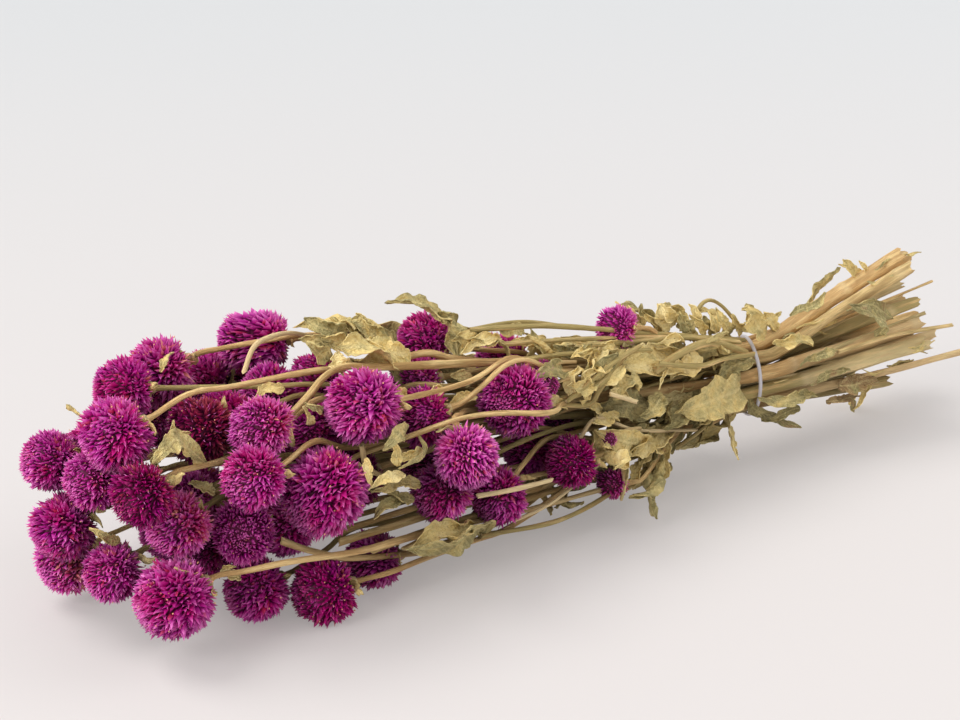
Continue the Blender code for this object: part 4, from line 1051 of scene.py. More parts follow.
def addThreads(heap, head, outer, inner):
    # A thin three-sided thread between the bracts of some florets, and a small open flower, a
    # pointed ball of eight faces, on others.
    rng = head.rng
    some = rng.uniform(0, 1, head.count) < bracts["threads"]
    count = int(some.sum())
    out, wing, flat, size = head.out[some], head.wing[some], head.flat[some], head.size[some]
    reach = (outer[some] * rng.uniform(0.94, 1.02, count))[:, None]
    thin = (size * 0.20)[:, None]
    foot = out * (0.5 * (outer[some] + inner[some]))[:, None]
    tip = out * reach + wing * (size * rng.normal(0, 0.6, count))[:, None]
    points = np.stack([foot + wing * thin, foot - wing * thin * 0.5 + flat * thin,
                       foot - wing * thin * 0.5 - flat * thin, tip], 1)
    faces = np.array([[0, 1, 3], [1, 2, 3], [2, 0, 3], [0, 2, 1]])
    tint = ([0.4, 0.4, 0.4, 1.0], rng.uniform(0, 1, (count, 1)), head.zone[some][:, None])
    heap.add(placed(points, head), [faces + (np.arange(count) * 4)[:, None, None]],
             (0.5, 0.1, 0.5), tint)
    some = (rng.uniform(0, 1, head.count) < bracts["flowers"]) & (head.zone > 0.06)
    count = int(some.sum())
    out = head.out[some]
    middle = out * (outer[some] * rng.uniform(0.93, 1.0, count))[:, None]
    small = (head.size[some] * 0.26)[:, None]
    steps = [head.wing[some] * small, head.flat[some] * small]
    ring = [middle + steps[0], middle + steps[1], middle - steps[0], middle - steps[1]]
    points = np.stack(ring + [middle + out * small * 1.4, middle - out * small * 1.4], 1)
    faces = np.array([[0, 1, 4], [1, 2, 4], [2, 3, 4], [3, 0, 4],
                      [1, 0, 5], [2, 1, 5], [3, 2, 5], [0, 3, 5]])
    heap.add(placed(points, head), [faces + (np.arange(count) * 6)[:, None, None]],
             (1.0, 0.1, 0.0), (1.0, 0.5, 0.5))


bractMaterial = bractFinish()
plantMaterial = plantFinish()
flowerSlots = ["flower_bright", "flower_deep", "flower_shaded"]
waiting = []                 # surfaces and what makePiece is given, until all are there
for number in sorted(set(heads.piece.tolist())):
    members = np.where(heads.piece == number)[0].tolist()
    heap = Heap()
    heap.shadeLift = headShadeLift.get(number, 1.0)
    for member in members:
        growHead(heap, heads.centre[member], heads.radius[member], heads.facing[member],
                 heads.stretch[member], member, headMoods.get(number, (0.08, 0.0)))
    kind = "head" if len(members) == 1 else "head_pair"
    waiting.append((heap, f"bloom_{number:02d}", bractMaterial, [f"{kind}_{number:02d}"],
                    flowerSlots[number % 3], 28.0))
print("flower heads grown")


# Stems

stemLook = {
    "sides": 14, "branchSides": 9, "step": 2.4,
    "ribs": 5, "ribDepth": 0.05, "splitEnd": 0.9,
    "jointEvery": 62.0, "jointSwell": 0.16,
    # how much finer than the solids' stems, by place along X
    "finer": ((-150.0, -60.0, -12.0, 4.0), (0.81, 0.77, 0.82, 0.98)),
    "slender": (4, 9),       # stalks that thin out towards their cuts
}


def sideFrames(points):
    # Two directions square to a line at each point, carried along without a twist.
    tangents = units(np.gradient(points, axis=0))
    side = unit(np.cross(tangents[0], np.array([0.0, 0.3, 1.0])))
    first = []
    for tangent in tangents:
        side = unit(side - tangent * (side @ tangent))
        first.append(side)
    first = np.array(first)
    return tangents, first, np.cross(tangents, first)


def sweepTube(heap, path, radius, sides, seed, shape, tone, mask, slant, rng):
    # A profile of shape[row, side] times the radius is carried along the path; each end is a dished
    # cap, and a slanted end is torn into uneven points.
    tangents, first, second = sideFrames(path)
    angles = np.arange(sides) * 2 * math.pi / sides
    reach = radius[:, None] * shape
    places = (path[:, None] + first[:, None] * (np.cos(angles) * reach)[..., None]
              + second[:, None] * (np.sin(angles) * reach)[..., None])
    caps, middles = [], []
    for row, amount, way in ((0, slant[0], -1.0), (-1, slant[1], 1.0)):
        torn = rng.uniform(-0.5, 1.0, sides) * stemLook["splitEnd"] * (amount > 0)
        places[row] += tangents[row] * ((np.cos(angles + seed) * amount + way * torn)
                                        * radius[row])[:, None]
        dish = tangents[row] * -way
        ring = path[row] + (places[row] - path[row]) * 0.6 + dish * 0.9 * radius[row]
        caps.append(ring)
        middles.append(ring.mean(0) + dish * 0.1 * radius[row])

    def withCaps(body, cap):
        body = np.broadcast_to(body, reach.shape).ravel()
        return np.concatenate([np.full(sides, cap), body, np.full(sides + 2, cap)])

    grain = (withCaps(np.cos(angles) * reach, 0.0), withCaps(travelledAlong(path)[:, None], 5.0),
             withCaps(np.sin(angles) * reach, 0.0) + 17.0 * seed)
    places = np.vstack([caps[0], places.reshape(-1, 3), caps[1], middles])
    heap.add(places, closedFaces(len(path) + 2, sides), grain,
             (0.0, tone, withCaps(mask[:, None], 1.0)))


def growStem(heap, number):
    # Ribs are a low wave round the stem; joints are short swellings at an even spacing with some
    # scatter. Past the band a stalk flattens, and a branch is thicker where it leaves its stalk.
    stem = stems[number]
    rng = np.random.default_rng(900 + number)
    isMain, isCut = stem.root is None, stem.head is None
    thick = isMain or isCut
    path = evenCurve(stem.points, stemLook["step"] * (1.0 if isMain else 1.25))
    x = path[:, 0]
    where = np.linspace(0, 1, len(path))
    travelled = where * lengths(np.diff(path, axis=0)).sum()
    every = stemLook["jointEvery"] * rng.uniform(0.8, 1.25)
    phase = (travelled + rng.uniform(0, every)) % every - every / 2
    joint = np.exp(-(phase / 1.5) ** 2)
    swell = 1.0 + stemLook["jointSwell"] * joint
    swell = swell * (1.0 + 0.05 * np.sin(travelled / 9.0 + number) + 0.03 * np.sin(travelled / 3.7))
    radius = np.interp(where, np.linspace(0, 1, len(stem.radius)), stem.radius)
    radius = radius * np.interp(x, *stemLook["finer"])
    slender = isMain and stem.group in stemLook["slender"]
    if slender:
        radius = radius * np.interp(x, [5, 50], [1.0, 0.48])
    if not isMain:
        swell = swell * (1.0 + 0.35 * np.exp(-(travelled / 5.0) ** 2))
    radius = radius * swell
    if not isCut:
        ease = np.clip(1.0 - (travelled[-1] - travelled) / 4.5, 0, 1) ** 2
        radius = radius * (1 - ease) + layout["collarWidth"] * heads.radius[stem.head] * ease
    sides = stemLook["sides"] if thick else stemLook["branchSides"]
    angles = np.arange(sides)[None] * 2 * math.pi / sides
    wave = stemLook["ribDepth"] * np.cos(stemLook["ribs"] * angles + rng.uniform(0, 6)
                                         + travelled[:, None] / 60.0)
    past = np.clip((x - 2.0) / 20.0, 0, 1)
    turn = rng.uniform(0, 6) + path[:, :1] / 90.0
    flatten = (0.07 + 0.16 * past[:, None]) * np.cos(2 * angles + turn) * (1.0 if thick else 0.5)
    flats = 0.10 * past[:, None] * (np.abs(np.sin(2.5 * angles + turn)) - 0.64) * thick
    tone = rng.uniform(0.0, 1.0)
    pale = joint * 0.3 + past * rng.uniform(0.15, 0.65)
    if slender:
        pale, tone = pale + 0.25 * past, 0.1
    slant = (0.5 * isMain, 0.5 * (isCut and not isMain))
    sweepTube(heap, path, radius, sides, number * 1.7, 1.0 + wave + flatten + flats, tone, pale,
              slant, rng)


# Leaves

# Visible leaves: column, row and offset of the foot, the same of the tip, half width, arch, twist
# and wave
seenLeaves = [
    (374, 332, 6, 292, 328, 12, 5.0, 3.0, 35, 1.4),
    (404, 364, -14, 334, 350, -10, 7.5, 4.0, -20, 1.8),
    (452, 330, 2, 384, 303, 8, 7.0, 5.0, 10, 1.8), (505, 347, -4, 454, 339, -3, 4.4, 2.0, 25, 1.0),
    (592, 350, 2, 546, 352, 0, 4.6, 2.0, 0, 0.6), (602, 347, -8, 584, 382, -25, 4.2, 3.0, 20, 1.4),
    (678, 362, -12, 616, 370, -18, 7.6, 3.0, 10, 0.9),
    (644, 404, -16, 596, 408, -22, 6.2, 2.5, -10, 0.9),
    (742, 386, -17, 674, 414, -24, 8.4, 2.0, -15, 1.0),
    (686, 343, 0, 650, 342, 0, 2.8, 1.5, 0, 0.5), (726, 334, 0, 690, 310, 4, 5.0, 4.0, 40, 1.2),
    (690, 334, 2, 662, 304, 6, 4.6, 4.0, -20, 1.2), (660, 334, 4, 618, 306, 8, 5.4, 4.0, 20, 1.5),
    (772, 330, 2, 744, 306, 8, 4.4, 2.0, 20, 1.2),
    (650, 428, -14, 650, 488, -26, 5.6, 3.0, 20, 1.6),
    (644, 444, -22, 594, 430, -30, 5.4, 4.0, -15, 1.2),
    (676, 426, -12, 630, 482, -12, 5.0, 2.0, -10, 1.2),
    (484, 524, -38, 404, 549, -46, 6.4, 4.0, 10, 1.2),
    (432, 464, -46, 381, 499, -58, 4.0, 3.0, 30, 1.4),
    (404, 430, -42, 382, 450, -48, 3.2, 1.0, 0, 0.4),
    (174, 440, -24, 149, 472, -30, 4.0, 2.0, 10, 0.8),
    (90, 425, 12, 66, 404, 16, 3.0, 1.5, 0, 0.5), (624, 466, -29, 622, 500, -38, 2.0, 1.5, 0, 0.5),
    (886, 326, -20, 848, 304, -22, 4.6, 2.0, 15, 1.0),
    (862, 284, 4, 838, 264, 4, 3.4, 1.5, 20, 0.8),
    (744, 402, -12, 802, 428, -16, 4.0, 1.0, 10, 0.9),
]

# Leaves of the far side, as places
farLeaves = [
    ((-120, 26, 62), (-168, 44, 70), 6.5, 4.0, 10, 1.6),
    ((-96, 24, 44), (-120, 46, 50), 6.0, 3.0, 20, 1.4),
    ((-70, 20, 28), (-104, 38, 20), 6.2, 3.0, -15, 1.4),
    ((-40, 15, 44), (-84, 30, 52), 6.4, 3.0, 10, 1.2),
    ((-60, 6, 16), (-110, 4, 6), 6.0, -3.0, 0, 1.2),
    ((-30, 3, 20), (-66, 2, 6), 4.6, -2.0, 10, 1.2),
    ((-18, 16, 30), (-56, 26, 24), 5.6, 2.0, 15, 1.2),
    ((34, 14, 42), (70, 30, 56), 5.0, 2.0, 10, 1.2),
    ((62, 8, 20), (66, 10, -0.8), 5.6, 2.0, 40, 1.2),
]

leafLook = {
    "rows": 34, "columns": 13, "halfThickness": 0.13, "pointed": 0.55,
    "smallLeaf": 4.1,        # half width up to which the guide has fewer rows
    "creases": (9.0, 6.0, 4.0, 2.4),     # widths in millimetres
}


def leafGuide(foot, tip, halfWidth, arch, twist, wave, seed):
    # Three lines of points, left, middle and right, from the nearest stem out to the tip and bent
    # clear.
    foot, tip = np.array(foot, float), np.array(tip, float)
    rows = 6 if halfWidth > leafLook["smallLeaf"] else 5
    fromEnd = np.diff(bundle.start)[bundle.stem] - 1 - bundle.order
    distance = lengths(bundle.place - foot) + 50.0 * (bundle.order < 2) + 50.0 * (fromEnd < 3)
    nearest = int(np.argmin(distance))
    group = int(bundle.group[nearest])
    middle = 0.5 * (foot + tip)
    outward = unit(middle - np.array([middle[0], 0.0, axisHeight(min(middle[0], 0.0))]))
    line = evenCurve([bundle.place[nearest], foot, middle + outward * arch, tip], 1.5)
    line = line[np.linspace(0, len(line) - 1, rows).round().astype(int)]
    tangents = units(np.gradient(line, axis=0))
    t = np.linspace(0, 1, rows)
    width = halfWidth * np.sin(np.pi * np.clip(t, 0.02, 1) ** 0.8) ** 0.8
    width = np.maximum(width, 0.55)
    width[0] = 0.5
    width = width[:, None]
    side = units(np.cross(tangents, outward))
    angle = (math.radians(twist) * (t - 0.3))[:, None]
    side, lift = turned(side, np.cross(side, tangents), angle)
    ripple = (wave * np.sin(2.3 * np.arange(rows) + seed) * np.minimum(1.0, 2.0 * t))[:, None]
    guide = np.stack([line - side * width + lift * (0.25 * width + ripple), line,
                      line + side * width + lift * (0.25 * width - ripple)], 1)
    return group, bendClear(guide, group)


def bendClear(guide, group):
    # Points of the guide are pushed off the heads, then off the nearest stem of another stalk.
    balls, sizes, _ = heads.balls()
    other = bundle.first[bundle.group[bundle.first] != group]
    start, thick = bundle.place[other], bundle.radius[other]
    run = bundle.place[other + 1] - start
    for _ in range(easing["leafRounds"]):
        flat = guide[1:].reshape(-1, 3)
        apart = flat[:, None] - balls[None]
        distance = lengths(apart) + 1e-9
        lack = np.maximum(sizes[None] + easing["leafFromHead"] - distance, 0.0)
        flat = flat + pushes(lack, apart, distance) * 0.5
        toward = flat[:, None] - start[None]
        t = np.clip((toward * run[None]).sum(2) / (run * run).sum(1)[None], 0, 1)
        off = toward - t[..., None] * run[None]
        distance = lengths(off) + 1e-9
        nearest = np.argmin(distance - thick[None], axis=1)
        rows = np.arange(len(flat))
        near = distance[rows, nearest]
        lack = np.maximum(thick[nearest] + easing["leafFromStem"] - near, 0.0)
        flat = flat + off[rows, nearest] * (lack / near)[:, None] * 0.6
        guide[1:] = flat.reshape(-1, 3, 3)
    return guide


def alongRows(guide, t):
    # The rows of a guide read at any share of its length.
    padded = np.concatenate([2 * guide[:1] - guide[1:2], guide, 2 * guide[-1:] - guide[-2:-1]])
    spot = t * (len(guide) - 1)
    index = np.minimum(spot.astype(int), len(guide) - 2)
    return smoothRun(*(padded[index + k] for k in range(4)), (spot - index)[:, None, None])


def leafSurface(heap, surface, span, length, seed, tone, crinkle=1.0):
    # On a base sheet: slanting veins, a sunk middle rib, creases that fold like paper (one minus
    # the size of a sine, in four directions and sizes), edges that ruffle, and then a thin closed
    # shell.
    rng = np.random.default_rng(int(seed * 10) + 3000)
    rows, columns = surface.shape[:2]
    tt = np.linspace(0, 1, rows)[:, None]
    ss = np.linspace(-1, 1, columns)[None]
    edge, along = np.abs(ss), tt * length
    veins = 6.0 * length / 30.0
    lateral = np.cos(2 * math.pi * (veins * tt - 1.1 * edge)) ** 6 * np.clip(edge * 3, 0, 1)
    rib = np.exp(-(ss / 0.10) ** 2) * (1 - 0.5 * tt)
    phase = rng.uniform(0, 6.3, 10)
    bearing = rng.uniform(0, math.pi, 4)
    creases = 0.0
    for k, width in enumerate(leafLook["creases"]):
        way = (np.cos(bearing[k]) * ss * span + np.sin(bearing[k]) * tt * length) * math.pi / width
        bent = way + 0.8 * np.sin(along / width + phase[k]) + 0.6 * ss + phase[k + 4]
        creases = creases + (0.64 - np.abs(np.sin(bent))) * width ** 0.8 * 0.19
    ruffle = np.sin(along / 2.2 + phase[8]) * np.sign(ss) + 0.6 * np.sin(along / 1.3 + phase[9])
    lift = crinkle * np.clip(tt / 0.10, 0, 1) * (creases * (0.55 + 0.45 * edge)
                                                 + 0.60 * ruffle * edge ** 2
                                                 - 0.22 * lateral - 0.30 * rib)
    surface = surface + sheetNormals(surface) * (lift * min(1.0, span / 4.5))[..., None]
    places, faces = sheetShell(surface, leafLook["halfThickness"] * (1.0 + 1.4 * rib))
    # The tone follows the creases: lighter where they push the sheet out, darker where they sink
    # it, a painted light and shade on the folds.
    heap.add(places, faces, (ss * span, along, 7.3 * seed),
             (1.0, tone + 0.28 * np.clip(creases, -1.0, 1.0), np.clip(lateral * 0.6 + rib, 0, 1)))


def raggedEdge(t, columns, rng, depth):
    # Each side of a leaf gets its own uneven outline, with small torn notches.
    sides = []
    for _ in range(2):
        a, b, c = rng.uniform(0, 6.3, 3)
        slow = 0.5 * np.sin(t * 9 + a) + 0.35 * np.sin(t * 23 + b)
        notch = -1.2 * np.clip(np.sin(t * rng.uniform(14, 30) + c) - 0.75, 0, 1) * 4
        sides.append(1.0 + depth * (slow + notch))
    s = np.linspace(-1, 1, columns)[None]
    return s, np.where(s < 0, *sides)


def growLeaf(heap, guide, seed, tone):
    # Across, a parabola through the three lines of the guide.
    rng = np.random.default_rng(int(seed * 10) + 4000)
    t = np.linspace(0, 1, leafLook["rows"])
    left, middle, right = alongRows(guide, t).transpose(1, 0, 2)
    span = lengths(right - left).max() * 0.5
    length = lengths(np.diff(middle, axis=0)).sum()
    taper = np.clip((1 - t) / 0.16, 0, 1) ** leafLook["pointed"]
    s, edge = raggedEdge(t[:, None], leafLook["columns"], rng, 0.16)
    outline, s = (edge * taper[:, None])[..., None], s[..., None]
    surface = (middle[:, None] + s * outline * ((right - left) * 0.5)[:, None]
               + s ** 2 * outline * (0.5 * (right + left) - middle)[:, None])
    leafSurface(heap, surface, span, length, seed, tone)


def curledLeaf(heap, foot, tip, outward, halfWidth, roll, twist, bow, seed, tone, crinkle=1.0,
               shape=(26, 11)):
    # The middle line bows between foot and tip and wavers; across it the sheet follows an arc, so
    # that a large roll closes it to a tube, and it turns about its line by the twist.
    rng = np.random.default_rng(int(seed * 10) + 5000)
    rows, columns = shape
    t = np.linspace(0, 1, rows)[:, None]
    reach = np.linalg.norm(tip - foot)
    ahead = (tip - foot) / reach
    aside = unit(np.cross(ahead, unit(outward)))
    up = np.cross(aside, ahead)
    waver = reach * 0.07
    rise = bow * 4 * t * (1 - t) + waver * np.sin(7 * t + rng.uniform(0, 6)) * t
    line = (foot + (tip - foot) * t + up * rise
            + aside * waver * np.sin(5 * t + rng.uniform(0, 6)) * t * 1.3)
    line = line - up * rng.uniform(-0.5, 0.9) * reach * 0.35 * np.clip(t - 0.55, 0, 1) ** 1.5
    tangents = units(np.gradient(line, axis=0))
    side = units(np.cross(tangents, up[None]))
    angle = math.radians(twist) * (t - 0.25) + 0.25 * np.sin(6 * t + rng.uniform(0, 6))
    side, lift = turned(side, np.cross(side, tangents), angle)
    width = np.maximum(halfWidth * np.sin(math.pi * (0.03 + 0.97 * t) ** 0.8) ** 0.75, 0.16)
    rolled = roll * (0.75 + 0.35 * np.sin(4.5 * t + rng.uniform(0, 6))) + 1e-3
    s, edge = raggedEdge(t, columns, rng, 0.20)
    own, bend = width * edge, rolled * s
    surface = (line[:, None] + side[:, None] * (own * (np.sin(bend) / rolled))[..., None]
               + lift[:, None] * (own * ((1 - np.cos(bend)) / rolled))[..., None])
    leafSurface(heap, surface, halfWidth, reach, seed, tone, crinkle)


def collarPlan(stem):
    # Of twelve directions round the collar, the one where two opposite leaf points find most room.
    radius, top = heads.radius[stem.head], stem.points[-1]
    balls, sizes, owner = heads.balls()
    balls, sizes = balls[owner != stem.head], sizes[owner != stem.head]
    others = bundle.group != stem.group
    facing = heads.facing[stem.head]
    start = unit(np.cross(facing, np.array([0.3, 0.2, 1.0])))
    angles = (np.arange(12) * math.pi / 12)[:, None]
    sides = turned(start, np.cross(facing, start), angles)[0]
    tries = layout["collarReach"] - layout["collarStep"] * np.arange(8)
    tries = tries[tries > layout["collarWidth"] + layout["collarStep"]]
    reaches = np.array([1.0, -1.0])[:, None, None] * tries[:, None] * radius
    tips = (top + sides[:, None, None] * reaches).reshape(-1, 3)
    room = (lengths(tips[:, None] - balls[None]) - sizes[None]).min(1)
    near = lengths(tips[:, None] - bundle.place[others][None])
    room = np.minimum(room, (near - bundle.radius[others][None] - 1.2).min(1))
    room = np.minimum(room, tips[:, 2] - 0.2).reshape(12, 2, -1)
    clear = room > layout["collarRoom"]
    reach = np.where(clear.any(2), tries[np.argmax(clear, 2)], tries[-1] - layout["collarStep"])
    best = int(np.argmax(reach.sum(1) > reach.sum(1).max() - 1e-9))
    return sides[best], reach[best]


def growCollar(heap, number):
    # Two thin leafy bracts stand opposite each other under a head: each lies along the head's
    # back, then its point curls out. A few heads have a third, smaller one.
    stem = stems[number]
    rng = np.random.default_rng(1700 + number)
    facing, radius = heads.facing[stem.head], heads.radius[stem.head]
    side, reaches = collarPlan(stem)
    top = stem.points[-1] - facing * 0.6
    plans = [(side, reaches[0]), (-side, reaches[1])]
    if rng.uniform() < 0.5:
        plans.append((unit(np.cross(facing, side) + 0.4 * side), 0.45))
    for count, (out, reach) in enumerate(plans):
        length = (reach + 0.02) * radius * rng.uniform(0.82, 1.0)
        dip = rng.uniform(-0.25, 0.55) * length
        bend = rng.uniform(-0.35, 0.35) * length
        tip = top + out * length - facing * dip + np.cross(facing, out) * bend
        curledLeaf(heap, top, tip, -facing + 0.5 * out, length * rng.uniform(0.20, 0.30),
                   rng.uniform(0.6, 2.0), rng.uniform(-70, 70),
                   -rng.uniform(0.0, 0.16) * length, 100 + number * 3 + count,
                   rng.uniform(0.35, 1.05), 0.5, (13, 5))


